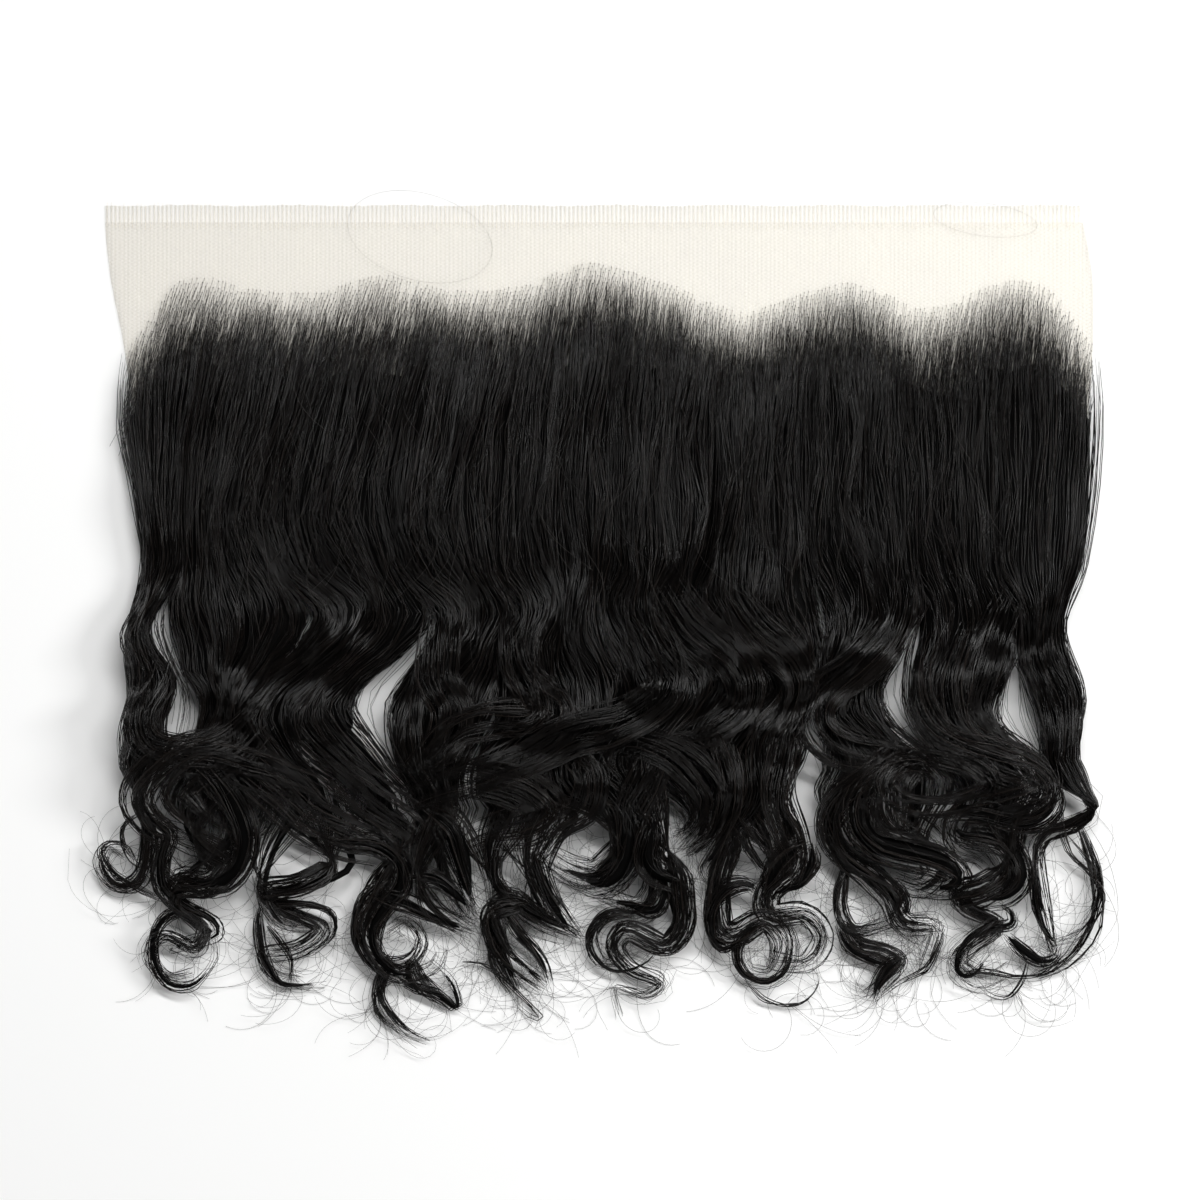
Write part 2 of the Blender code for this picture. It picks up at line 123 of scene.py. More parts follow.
# How far the hair swings sideways between the sections' sides, in hundredths of the half width
sweeps = {
    "across": [-1.0, -0.90, -0.80, -0.66, -0.52, -0.43, -0.33, -0.18, 0.0, 0.12, 0.24, 0.36, 0.44,
               0.52, 0.60, 0.70, 0.80, 0.90, 1.0],
    "down": [0.0, 0.10, 0.20, 0.30, 0.37, 0.425, 0.475, 0.525, 0.575, 0.625, 0.67, 0.72],
    "shift": [
        [0, 2, 5, 7, 7, 6, 5, 4, 2.5, 1.5, 0.5, 0, 0, -0.5, -0.5, 0, 0, 0, 0],
        [0, 1.5, 4, 5, 5, 4.5, 3.5, 2.5, 1.5, 1, 0, 0, 0, 0, 0, 0, 0, 0, 0],
        [0, 0.5, 1, 1.5, 1.5, 1, 0, 0, 0, -0.5, -1, -1, 0, 0.5, 1, 1, 0, 0, 0],
        [0, -1, -2.5, -3, -3, -3, -3, -1.5, 0, 0.5, 0, -1, -1, 0, 1, 1, 0, 0, 0],
        [0, -1, -1, 0, 0, -1, -2, -1, 1, 0, -2, -1, 1, 2, 2, 1, 0, 0, 0],
        [0, 0, 2, 7, 4, 2, 2, 1, -1, -3, -4, -2, 2, 4, 2, 3, 2, 0, 0],
        [0, 0, 1.5, 4, 2, 1, 0, -2, 0, 2, 2, 2, 2, 3, 0, 2, 1, 0, 0],
        [0, -1, 0, -3, -1.5, 0, -3, 0, 3, 6, 6, 4, 1, -1, 0, -1, 0, 0, 0],
        [0, -2, -1, -7, -2.5, -0.5, -3, 2, 3, 3, 2, 2, 0, -4, 0, -3, -1, 0, 0],
        [0, 0, -1, -2, -1, 0, -3, -3, -2, -1, -1, 1, 2, -1, 2, 2, 2, 1, 0],
        [0, 1, 4, 5, 4, 3, -2, -4, -1, 2, 2, 1, 2, 3, 4, 5, 3, 1, 0],
        [0, 0, 0, 0, 0, 0, 0, 0, 0, 0, 0, 0, 0, 0, 0, 0, 0, 0, 0],
    ],
}


def throughRows(keys, values, at):      # a smooth value through a table's rows, flat at both ends
    keys, values = np.asarray(keys, float), np.asarray(values, float)
    at = np.clip(np.asarray(at, float), keys[0], keys[-1])
    row = np.clip(np.searchsorted(keys, at, side="right") - 1, 0, len(keys) - 2)
    slope = np.zeros(len(keys))
    slope[1:-1] = (values[2:] - values[:-2]) / (keys[2:] - keys[:-2])
    span = keys[row + 1] - keys[row]
    t = (at - keys[row]) / span
    return ((2 * t**3 - 3 * t**2 + 1) * values[row] + (t**3 - 2 * t**2 + t) * span * slope[row]
            + (3 * t**2 - 2 * t**3) * values[row + 1] + (t**3 - t**2) * span * slope[row + 1])


def smoothStep(low, high, at):
    t = np.clip((np.asarray(at, float) - low) / (high - low), 0.0, 1.0)
    return t * t * (3 - 2 * t)


def sideAcross(index, down, towards):      # a section's side at a boundary, as an across share
    across = throughRows(stations, boundaries[index], down)
    half = np.zeros_like(across)
    for boundary, top, bottom, width in slits:
        if boundary == index:
            turn = np.pi * np.clip((down - top) / (bottom - top), 0.0, 1.0)
            half = np.maximum(half, width / 2 * np.sin(turn))
    return across + towards * half


def sideSpread(index, down):      # how far a section reaches over its neighbour
    if index in (0, frontal["sectionCount"]):
        return 0.0 * down
    own = [row for row in slits if row[0] == index]
    if not own:
        return 0.20 + 0.0 * down
    top, bottom = min(row[1] for row in own), max(row[2] for row in own)
    above = 1 - smoothStep(top - 0.11, top + 0.01, down)
    return 0.22 * above + 0.15 * smoothStep(bottom, bottom + 0.1, down)


def floorHeight(down):      # what the hair lies on: the lace, then the ground
    leave = frontal["laceReach"] / frontal["hairLength"] + 0.012
    return (frontal["laceTop"] + frontal["seatGap"]) * (1 - np.clip((down - leave) / 0.05, 0, 1))


def hairTop(across, down):      # height of the hair's top over the ground, with its waves
    thickness = frontal["pileHeight"] * throughRows(pile["down"], pile["height"], down)
    crest = throughRows(waves["down"], waves["crest"], down)
    drift = (0.24 * np.cos(2.6 * (across + 0.75)) + 0.22 * np.sin(9.7 * across + 6.0 * down)
             + 0.13 * np.sin(23.0 * across - 9.0 * down + 1.0)
             + 0.06 * np.sin(57.0 * across + 15.0 * down)
             + 0.04 * np.sin(131.0 * across - 21.0 * down))
    patchy = (0.80 + 0.45 * np.sin(7.1 * across + 17.0 * down)
              * np.sin(5.3 * across - 11.0 * down + 2.0)
              + 0.20 * np.sin(31.0 * across + 13.0 * down))
    lift = throughRows(waves["heightDown"], waves["height"], down) * patchy
    return floorHeight(down) + thickness + lift * np.cos(2 * np.pi * (crest + drift))


def sweepAt(across, down):      # the sideways swing at a place, an across share
    table = np.array(sweeps["shift"], float).T / 100
    columns = np.stack([throughRows(sweeps["down"], column, down) for column in table], -1)
    at = np.interp(across, sweeps["across"], np.arange(len(table)))
    low = np.minimum(at.astype(int), len(table) - 2)
    part = at - low
    before = np.take_along_axis(columns, low[..., None], -1)[..., 0]
    after = np.take_along_axis(columns, low[..., None] + 1, -1)[..., 0]
    return before + (after - before) * part


def bandPoint(section, u, down, level):      # a point in a section's flat band
    left, right = sideAcross(section, down, 1), sideAcross(section + 1, down, -1)
    across = left + (right - left) * u
    across = across + sweepAt(across, down)
    low = floorHeight(down)
    lobes = 0.90 + 0.10 * np.cos(2 * np.pi * (3 * u + 1.1 * down + 0.37 * section))
    edge = 1 - 0.35 * np.clip(np.abs(2 * u - 1), 0, 1)**6
    height = low + (hairTop(across, down) - low) * level * lobes * edge
    return np.stack([across * frontal["halfWidth"], -down * frontal["hairLength"], height], -1)


def cornerDrop(across):      # the hairline's rounded corners
    return 0.026 * np.clip((np.abs(across) - 0.88) / 0.11, 0, 1)**2


def sectionRootAcross(section, u):      # where along the hairline a strand is tied
    return boundaries[section][0] + (boundaries[section + 1][0] - boundaries[section][0]) * u


def routePath(route, count):      # evenly spaced points on a smooth curve through a route's rows
    metres = [frontal["halfWidth"], -frontal["hairLength"], frontal["pileHeight"]]
    rows = np.array(route, float) * metres
    rows = np.vstack([2 * rows[0] - rows[1], rows, 2 * rows[-1] - rows[-2]])
    fine = []
    for p, q, r, s in zip(rows, rows[1:], rows[2:], rows[3:]):
        t = np.linspace(0, 1, 24, endpoint=False)[:, None]
        fine.append(0.5 * (2 * q + (r - p) * t + (2 * p - 5 * q + 4 * r - s) * t**2
                           + (3 * q - p - 3 * r + s) * t**3))
    fine = np.vstack(fine + [rows[-2:-1]])
    along = np.concatenate([[0], np.cumsum(np.linalg.norm(np.diff(fine, axis=0), axis=1))])
    at = np.linspace(0, along[-1], count)
    return np.stack([np.interp(at, along, fine[:, k]) for k in range(3)], -1), along[-1]


def pathFrames(points):      # side and up directions carried along a path
    ahead = np.gradient(points, axis=0)
    ahead /= np.linalg.norm(ahead, axis=1, keepdims=True)
    sides = np.zeros_like(points)
    side = np.cross(ahead[0], [0, 0, 1])
    for i, forward in enumerate(ahead):
        side = side - forward * side.dot(forward)
        side /= np.linalg.norm(side)
        sides[i] = side
    return ahead, sides, np.cross(sides, ahead)


class Wire:      # wraps a socket so that maths on it adds the nodes
    def __init__(self, tree, socket):
        self.tree, self.socket = tree, socket

    def math(self, operation, *values):
        return addNode(self.tree, "ShaderNodeMath", {"operation": operation},
                       dict(enumerate(values)))

    def __add__(self, other):
        return self.math("ADD", self, other)

    __radd__ = __add__

    def __mul__(self, other):
        return self.math("MULTIPLY", self, other)

    __rmul__ = __mul__

    def __sub__(self, other):
        return self.math("SUBTRACT", self, other)

    def __rsub__(self, other):
        return self.math("SUBTRACT", other, self)

    def __gt__(self, other):
        return self.math("GREATER_THAN", self, other)

    def __pow__(self, other):
        return self.math("POWER", self, other)


def setSockets(tree, node, values):      # a link for a Wire, or else a plain value
    for name, value in values.items():
        if isinstance(value, Wire):
            tree.links.new(value.socket, node.inputs[name])
        else:
            node.inputs[name].default_value = value


def addNode(tree, kind, settings, inputs, output=0):      # its settings first, then its sockets
    node = tree.nodes.new(kind)
    for name, value in settings.items():
        setattr(node, name, value)
    setSockets(tree, node, inputs)
    return Wire(tree, node.outputs[output])


def newMaterial(name):
    finish = bpy.data.materials.new(name)
    finish.use_nodes = True
    return finish, finish.node_tree, finish.node_tree.nodes["Principled BSDF"]


def mixColours(tree, factor, low, high):
    return addNode(tree, "ShaderNodeMix", {"data_type": "RGBA"}, {0: factor, 6: low, 7: high}, 2)


def blotches(tree, scale, detail):      # a soft noise that keeps to its piece
    where = addNode(tree, "ShaderNodeTexCoord", {}, {}, 3)
    return addNode(tree, "ShaderNodeTexNoise", {},
                   {"Vector": where, "Scale": scale, "Detail": detail})


# Each hair finish: its darkest and lightest colour, roughness and gloss
hairFinishes = {
    "darkHair": ((0.0010, 0.0008, 0.0008, 1), (0.0150, 0.0110, 0.0090, 1), 0.23, 0.27),
    "fineHair": ((0.004, 0.003, 0.0026, 1), (0.020, 0.013, 0.010, 1), 0.35, 0.27),
    # The pale finish, for the hairs over the surface, is a painted highlight of strays that catch
    # the light
    "paleHighlightHair": ((0.012, 0.011, 0.010, 1), (0.070, 0.064, 0.059, 1), 0.38, 0.27),
    # The core finish is near-black and almost without gloss: painted shade for the deep inside of
    # the hair
    "shadeCoreHair": ((0.0010, 0.0009, 0.0009, 1), (0.002, 0.0016, 0.0015, 1), 0.7, 0.04),
}


def hairFinish(name, dark, light, rough, gloss):
    finish, tree, shader = newMaterial(name)
    tone = addNode(tree, "ShaderNodeAttribute", {"attribute_name": "tone"}, {}, 2)
    patch = blotches(tree, 90.0, 3.0)
    setSockets(tree, shader, {
        "Base Color": mixColours(tree, tone**4.0 * 0.8 + patch * 0.2, dark, light),
        "Roughness": rough + (patch - 0.5) * 0.12 + (tone - 0.5) * 0.10,
        "Specular IOR Level": gloss})
    return finish


darkHair, fineHair, paleHighlightHair, shadeCoreHair = [
    hairFinish(name, *look) for name, look in hairFinishes.items()]


def makePiece(name, mesh, finish):      # a finished mesh as a piece of the frontal
    mesh.shade_smooth()
    mesh.materials.append(finish)
    piece = bpy.data.objects.new(name, mesh)
    bpy.context.scene.collection.objects.link(piece)
    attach(piece, "root")
    return piece


def toMesh(form, name):      # a bmesh as a mesh with its faces outwards
    bmesh.ops.recalc_face_normals(form, faces=form.faces)
    mesh = bpy.data.meshes.new(name)
    form.to_mesh(mesh)
    form.free()
    return mesh


class StrandBatch:      # many strands gathered into one mesh of closed three-sided tubes
    def __init__(self):
        self.points, self.faces, self.tones, self.count = [], [], [], 0

    def add(self, paths, radii, tones):      # paths: strand, ring, xyz
        strands, rings = paths.shape[:2]
        over = np.maximum(paths[..., 2] - frontal["pileCap"], 0)
        paths[..., 2] -= frontal["capPress"] * over
        ahead = np.gradient(paths, axis=1)
        ahead /= np.maximum(np.linalg.norm(ahead, axis=2, keepdims=True), 1e-12)
        side = np.cross(ahead[:, 0], [0.05, 0.1, 1.0])
        corners = np.zeros((strands, rings, 3, 3))
        turns = 2 * np.pi * np.arange(3) / 3 + np.pi / 2
        for i in range(rings):
            side = side - ahead[:, i] * np.sum(side * ahead[:, i], axis=1, keepdims=True)
            side /= np.maximum(np.linalg.norm(side, axis=1, keepdims=True), 1e-12)
            up = np.cross(side, ahead[:, i])
            for k, turn in enumerate(turns):
                corners[:, i, k] = paths[:, i] + radii[:, i, None] * (
                    side * math.cos(turn) + up * math.sin(turn))
        first = self.count + 3 * rings * np.arange(strands)[:, None, None]
        ring = 3 * np.arange(rings - 1)[None, :, None]
        k = np.arange(3)[None, None, :]
        low, nextLow = first + ring + k, first + ring + (k + 1) % 3
        walls = np.stack([low, nextLow, nextLow + 3, low + 3], -1).reshape(-1, 4)
        start = first[:, 0, 0]
        last = start + 3 * (rings - 1)
        self.faces += walls.tolist()
        self.faces += np.stack([start + 2, start + 1, start], -1).tolist()
        self.faces += np.stack([last, last + 1, last + 2], -1).tolist()
        self.points.append(corners.reshape(-1, 3))
        self.tones.append(np.repeat(tones, 3 * rings))
        self.count += strands * rings * 3

    def make(self, name, finish):
        mesh = bpy.data.meshes.new(name)
        mesh.from_pydata(np.vstack(self.points).tolist(), [], self.faces)
        mesh.attributes.new("tone", "FLOAT", "POINT").data.foreach_set(
            "value", np.concatenate(self.tones).astype(np.float32))
        print(name, sum(len(face) - 2 for face in self.faces), "triangles")
        return makePiece(name, mesh, finish)


def ringPlaces(path, length, turnPerRing, ringPerMetre):      # where a lock's rings go, 0 to 1
    ahead = np.gradient(path, axis=0)
    ahead /= np.linalg.norm(ahead, axis=1, keepdims=True)
    turning = np.linalg.norm(np.diff(ahead, axis=0), axis=1)
    step = turning / turnPerRing + length / (len(path) - 1) * ringPerMetre
    total = np.concatenate([[0], np.cumsum(step)])
    rings = max(6, int(math.ceil(total[-1])))
    return np.interp(np.linspace(0, total[-1], rings), total, np.linspace(0, 1, len(path)))


def sampleAt(paths, places):      # paths: strand, sample, xyz; places: strand, ring in 0..1
    strands, samples = paths.shape[:2]
    at = np.clip(places, 0, 1) * (samples - 1)
    low = np.minimum(at.astype(int), samples - 2)
    part = (at - low)[..., None]
    row = np.arange(strands)[:, None]
    return paths[row, low] * (1 - part) + paths[row, low + 1] * part


def waver(rng, strands, samples, length, wavelength, size):      # each strand's slow wander
    s = np.linspace(0, length, samples)[None, :]
    out = np.zeros((strands, samples, 3))
    for axis, share in ((0, 1.0), (1, 1.0), (2, 0.5)):
        for octave in (1.0, 1.9):
            phase = rng.uniform(0, 2 * np.pi, (strands, 1))
            stretch = rng.uniform(0.8, 1.25, (strands, 1))
            out[..., axis] += share / octave * np.sin(
                2 * np.pi * octave * stretch * s / wavelength + phase)
    return out * size


strandLook = {
    "seed": 7,
    "radius": 0.00022,          # of a strand in the thick of the hair, in metres
    "rootRadius": 0.00007,
    "tipRadius": 0.00008,
    "curlRadius": 0.00024,
    "topShare": 0.78,           # of a rooted strand's thickness, while it is over the lace
    "curlWidth": 0.90,          # of a loose curl, as a share of its table's
    "wander": 0.0011,           # how far neighbouring strands swing together
    "perWidth": 195,            # strands for a lock one section wide that run to its tip
    "perSection": 85,           # further strands of a section that end early in its locks
    "perOverLock": 80,          # strands for an over-lying lock one section wide
    "perCurl": 100,             # strands for a loose curl one section wide
    "clumpSize": 6,
    "gather": 0.45,             # how far strands draw together into clumps
    "stray": 0.75,              # how far the stray clumps stand off
    "looseness": 0.16,
    "turnPerRing": 0.42,        # a ring for so many radians of turning
    "ringPerMetre": 85,
}

# Each lock: section, where its strands are rooted across the section, width, and its route in
# thousandths: across, down and rise in turn
locks = [
    (0, 0.0, 1.0, 0.20, [-935, 600, 380, -962, 650, 450, -948, 700, 450, -945, 745, 360,
        -968, 785, 300, -1015, 790, 240, -1045, 762, 220, -1025, 737, 300, -988, 752, 450]),
    (1, 0.0, 0.7, 0.30, [-800, 650, 450, -850, 700, 500, -830, 738, 450, -785, 760, 320,
        -820, 790, 500, -885, 790, 480, -880, 815, 260, -828, 845, 300, -850, 876, 450,
        -915, 858, 450, -942, 882, 280, -905, 912, 200, -850, 905, 180]),
    (1, 0.3, 1.0, 0.30, [-780, 690, 500, -790, 730, 460, -850, 765, 400, -895, 780, 300]),
    (2, 0.0, 0.5, 0.24, [-690, 680, 450, -620, 733, 420, -580, 765, 400, -640, 790, 580,
        -712, 800, 400, -655, 825, 200, -590, 846, 360, -640, 874, 500, -712, 880, 360,
        -685, 912, 180, -610, 920, 120]),
    (2, 0.0, 0.3, 0.17, [-690, 690, 300, -722, 740, 300, -722, 795, 400, -675, 838, 560,
        -610, 848, 520]),
    (2, 0.4, 1.0, 0.24, [-560, 690, 450, -500, 713, 450, -460, 745, 400, -478, 790, 320,
        -505, 845, 280, -470, 890, 280, -415, 893, 320, -385, 860, 420, -420, 832, 560,
        -465, 850, 600]),
    (2, 0.0, 0.0, 0.14, [-445, 880, 200, -475, 925, 160, -462, 955, 120, -420, 983, 100,
        -368, 997, 90]),
    (2, 0.0, 0.0, 0.18, [-410, 885, 240, -395, 915, 200, -330, 947, 120]),
    (3, 0.2, 0.9, 0.34, [-335, 670, 450, -350, 725, 420, -335, 778, 360, -290, 826, 200]),
    (3, 0.0, 0.7, 0.28, [-355, 700, 500, -392, 765, 600, -366, 818, 540, -284, 852, 200]),
    (4, 0.0, 0.5, 0.22, [-190, 690, 400, -232, 740, 400, -228, 790, 320, -165, 835, 340,
        -88, 856, 200]),
    (4, 0.2, 0.7, 0.24, [-130, 690, 500, -160, 750, 550, -155, 800, 500, -118, 845, 320]),
    (4, 0.0, 0.0, 0.22, [-160, 812, 400, -245, 825, 500, -225, 870, 340, -172, 905, 200,
        -135, 925, 140]),
    (4, 0.0, 0.0, 0.18, [-225, 835, 300, -235, 885, 220, -198, 930, 140]),
    (4, 0.5, 1.0, 0.32, [-80, 670, 450, 0, 700, 480, 12, 745, 460, -35, 778, 440, -95, 768, 500,
        -145, 745, 550]),
    (5, 0.2, 0.6, 0.25, [110, 640, 450, 104, 700, 420, 100, 755, 360, 92, 800, 300, 50, 826, 340,
        -28, 806, 220]),
    (5, 0.0, 0.6, 0.22, [120, 650, 400, 132, 730, 520, 146, 790, 460, 150, 840, 380, 110, 872, 360,
        35, 850, 440, 12, 870, 340, 45, 898, 240, 112, 918, 220, 70, 938, 320, 5, 926, 220,
        18, 965, 120]),
    (5, 0.5, 1.0, 0.30, [140, 620, 500, 192, 665, 500, 188, 715, 460, 150, 745, 440]),
    (5, 0.0, 0.0, 0.12, [60, 828, 300, -5, 830, 380, -46, 858, 260, -26, 892, 160, 30, 897, 160]),
    (6, 0.0, 0.5, 0.26, [270, 610, 450, 272, 670, 420, 248, 725, 440, 222, 775, 400, 218, 840, 320,
        250, 857, 300, 310, 835, 400, 355, 865, 340, 330, 908, 240, 275, 902, 260, 262, 868, 400]),
    (6, 0.2, 0.7, 0.22, [262, 700, 550, 318, 750, 600, 322, 795, 450]),
    (6, 0.5, 1.0, 0.24, [360, 610, 450, 340, 665, 420, 368, 720, 440, 372, 765, 440, 320, 800, 360,
        330, 828, 260, 400, 826, 260, 436, 860, 260, 400, 895, 300, 330, 892, 400, 322, 872, 560]),
    (7, 0.0, 0.6, 0.28, [520, 640, 500, 470, 690, 500, 470, 742, 450, 530, 775, 380, 575, 805, 340,
        600, 838, 280, 668, 846, 220, 640, 902, 120]),
    (7, 0.4, 1.0, 0.28, [570, 650, 450, 580, 715, 520, 635, 742, 500, 672, 770, 440, 630, 796, 500,
        570, 780, 500]),
    (7, 0.0, 0.0, 0.12, [485, 750, 360, 468, 815, 260, 500, 850, 220, 580, 838, 220]),
    (7, 0.0, 0.0, 0.15, [478, 840, 180, 508, 868, 150, 560, 876, 150, 594, 890, 220, 570, 912, 180,
        530, 940, 120]),
    (8, 0.0, 1.0, 0.30, [760, 670, 500, 742, 708, 500, 790, 745, 460, 796, 778, 400, 750, 796, 500,
        712, 802, 380, 745, 822, 220, 800, 840, 300, 750, 866, 420, 712, 892, 300, 765, 914, 180,
        820, 896, 200]),
    (9, 0.0, 1.0, 0.17, [915, 625, 400, 952, 664, 400, 988, 689, 360, 945, 710, 300, 888, 722, 300,
        866, 752, 300, 876, 800, 280, 890, 850, 240, 898, 880, 240, 862, 868, 420]),
    (9, 0.0, 0.0, 0.11, [950, 700, 340, 985, 755, 240, 998, 800, 180, 982, 850, 150, 935, 892, 120,
        872, 908, 100]),
]
locks = [(*lock[:4], inRows(lock[4], 3)) for lock in locks]

# Curls that come out from under the others: width as a share of a section's, rise at the start
# and at the end, and the route in thousandths: across and down in turn
looseCurls = [
    (0.45, 0.75, 0.55, [-971, 671, -933, 630, -855, 618, -791, 659, -752, 708, -752, 754, -791, 783,
        -849, 783, -901, 758, -923, 729]),
    (0.22, 0.55, 0.30, [-965, 651, -952, 696, -907, 721, -919, 754, -915, 791, -868, 818, -817, 834,
        -804, 853, -843, 866, -901, 874]),
    (0.12, 0.40, 0.20, [-804, 845, -843, 824, -901, 828, -934, 853, -936, 886, -907, 919, -855, 921,
        -814, 890, -814, 861]),
    (0.08, 0.35, 0.25, [-907, 812, -965, 795, -1023, 770, -1045, 746, -1023, 735, -984, 743,
        -968, 770, -930, 801]),
    (0.06, 0.45, 0.30, [-955, 692, -994, 708, -997, 737, -971, 764, -926, 767]),
    (0.14, 0.50, 0.30, [-649, 733, -598, 741, -567, 758, -591, 783, -675, 799, -701, 810, -623, 814,
        -572, 826, -564, 853, -598, 874, -669, 884]),
    (0.14, 0.30, 0.12, [-714, 812, -723, 840, -710, 886, -681, 917, -636, 923, -585, 921]),
    (0.08, 0.30, 0.15, [-707, 840, -675, 865, -657, 890, -657, 917]),
    (0.26, 0.55, 0.35, [-649, 713, -559, 731, -482, 735, -433, 758, -427, 791, -462, 820, -488, 853,
        -475, 886, -430, 907, -366, 898, -346, 865]),
    (0.12, 0.45, 0.30, [-427, 770, -482, 791, -517, 820, -524, 861, -495, 894, -443, 909,
        -379, 907]),
    (0.24, 0.65, 0.35, [-424, 779, -372, 779, -321, 799, -279, 831]),
    (0.22, 0.55, 0.30, [-495, 799, -430, 812, -366, 832, -272, 854]),
    (0.12, 0.25, 0.10, [-450, 902, -411, 923, -359, 933, -316, 951, -327, 919, -372, 890]),
    (0.05, 0.20, 0.06, [-443, 915, -479, 931, -479, 960, -443, 979]),
    (0.42, 0.75, 0.30, [-385, 684, -334, 708, -308, 746, -295, 787, -279, 831]),
    (0.24, 0.45, 0.25, [-256, 818, -205, 808, -153, 826, -63, 859]),
    (0.20, 0.35, 0.12, [-248, 816, -243, 857, -211, 898, -187, 932]),
    (0.16, 0.35, 0.12, [-224, 820, -179, 861, -140, 894, -124, 927]),
    (0.05, 0.15, 0.06, [-308, 892, -256, 898, -192, 931, -142, 964, -179, 958, -224, 919]),
    (0.14, 0.50, 0.35, [-224, 733, -237, 774, -205, 801, -134, 824]),
    (0.26, 0.60, 0.30, [-166, 733, -140, 787, -108, 828, -63, 859]),
    (0.34, 0.75, 0.45, [69, 603, 141, 605, 192, 625, 220, 657, 225, 690, 208, 720, 167, 739,
        136, 744]),
    (0.36, 0.65, 0.45, [-8, 611, 59, 615, 120, 626, 161, 651, 182, 680, 184, 707, 161, 726,
        131, 730]),
    (0.20, 0.60, 0.40, [-13, 628, 44, 641, 100, 661, 141, 680, 161, 700, 156, 723]),
    (0.16, 0.60, 0.40, [231, 605, 264, 625, 278, 651, 266, 680, 238, 707, 208, 730]),
    (0.26, 0.70, 0.40, [289, 598, 287, 631, 292, 664, 274, 694, 243, 720, 213, 746, 192, 769,
        213, 789]),
    (0.20, 0.60, 0.50, [338, 644, 341, 674, 359, 702, 366, 726, 374, 743]),
    (0.28, 0.65, 0.40, [407, 730, 371, 739, 341, 759, 324, 782, 318, 815]),
    (0.20, 0.55, 0.40, [407, 731, 411, 759, 389, 787, 351, 797, 323, 815]),
    (0.12, 0.60, 0.50, [318, 776, 295, 756, 273, 733, 280, 718, 305, 730, 336, 759]),
    (0.22, 0.50, 0.35, [305, 808, 289, 790, 249, 790, 215, 808, 202, 835, 208, 862, 228, 874,
        264, 862, 305, 844]),
    (0.13, 0.35, 0.20, [330, 841, 295, 844, 264, 864, 259, 890, 279, 910, 320, 917, 356, 904,
        371, 877, 361, 851]),
    (0.05, 0.20, 0.08, [264, 907, 289, 926, 315, 941, 351, 947, 392, 943, 420, 926, 424, 907,
        397, 894]),
    (0.36, 0.80, 0.45, [85, 694, 85, 720, 74, 749, 92, 772, 136, 784, 167, 808]),
    (0.09, 0.35, 0.25, [59, 828, 13, 821, -25, 836, -41, 864, -23, 890, 13, 904, 51, 900, 82, 884,
        86, 867]),
    (0.20, 0.50, 0.35, [110, 782, 104, 812, 80, 823, 33, 814, -20, 810]),
    (0.45, 0.65, 0.40, [-84, 631, -33, 651, 13, 680, 33, 716, 28, 756, -8, 785, -54, 782,
        -115, 762]),
    (0.24, 0.60, 0.40, [-23, 638, 23, 671, 51, 707, 49, 749, 23, 782, -23, 792]),
    (0.16, 0.60, 0.45, [-146, 674, -105, 680, -79, 697, -95, 715, -136, 723]),
    (0.20, 0.60, 0.35, [501, 649, 457, 671, 439, 697, 450, 726, 478, 754, 521, 772, 562, 789,
        590, 808, 585, 828, 608, 843, 644, 848, 685, 846]),
    (0.50, 0.80, 0.45, [578, 621, 526, 651, 506, 680, 511, 713, 547, 736, 603, 746, 654, 753,
        690, 764, 708, 779, 690, 792, 644, 790, 583, 777]),
    (0.34, 0.80, 0.50, [895, 648, 903, 677, 875, 698, 829, 705, 767, 695, 716, 690, 677, 698,
        670, 716, 695, 730]),
    (0.32, 0.60, 0.45, [695, 697, 711, 720, 762, 726, 808, 739, 835, 766, 831, 789, 798, 805,
        752, 807, 711, 802]),
    (0.14, 0.35, 0.25, [788, 812, 818, 825, 818, 841, 777, 846, 736, 859, 711, 881, 711, 904,
        736, 910, 767, 890, 795, 861]),
    (0.14, 0.40, 0.20, [803, 851, 839, 874, 880, 890, 913, 885, 921, 872]),
    (0.13, 0.45, 0.25, [844, 756, 864, 782, 869, 815, 887, 848, 910, 869, 913, 887]),
    (0.06, 0.40, 0.20, [921, 664, 921, 713, 941, 749, 982, 776, 1007, 805, 987, 838, 951, 862,
        900, 872]),
    (0.05, 0.35, 0.20, [931, 723, 977, 759, 995, 799, 972, 841, 921, 861]),
    (0.06, 0.25, 0.12, [711, 908, 767, 903, 829, 911, 885, 907, 931, 887, 967, 854]),
    (0.05, 0.20, 0.08, [855, 887, 844, 917, 813, 938, 772, 933, 741, 913]),
    (0.10, 0.35, 0.25, [466, 835, 491, 848, 542, 844, 578, 838]),
    (0.12, 0.30, 0.18, [462, 841, 485, 871, 526, 887, 567, 894, 606, 882]),
    (0.20, 0.25, 0.10, [606, 882, 572, 897, 547, 920, 534, 946]),
    (0.07, 0.25, 0.12, [685, 847, 670, 874, 649, 900, 603, 917, 532, 946]),
    (0.05, 0.45, 0.30, [485, 766, 465, 795, 462, 828, 475, 843]),
    (0.10, 0.45, 0.25, [578, 779, 599, 799, 593, 821, 578, 831, 608, 858, 634, 869]),
    (0.10, 0.60, 0.60, [603, 656, 613, 641, 639, 640, 652, 654, 634, 664]),
]
looseCurls = [(*curl[:3], inRows(curl[3], 2)) for curl in looseCurls]

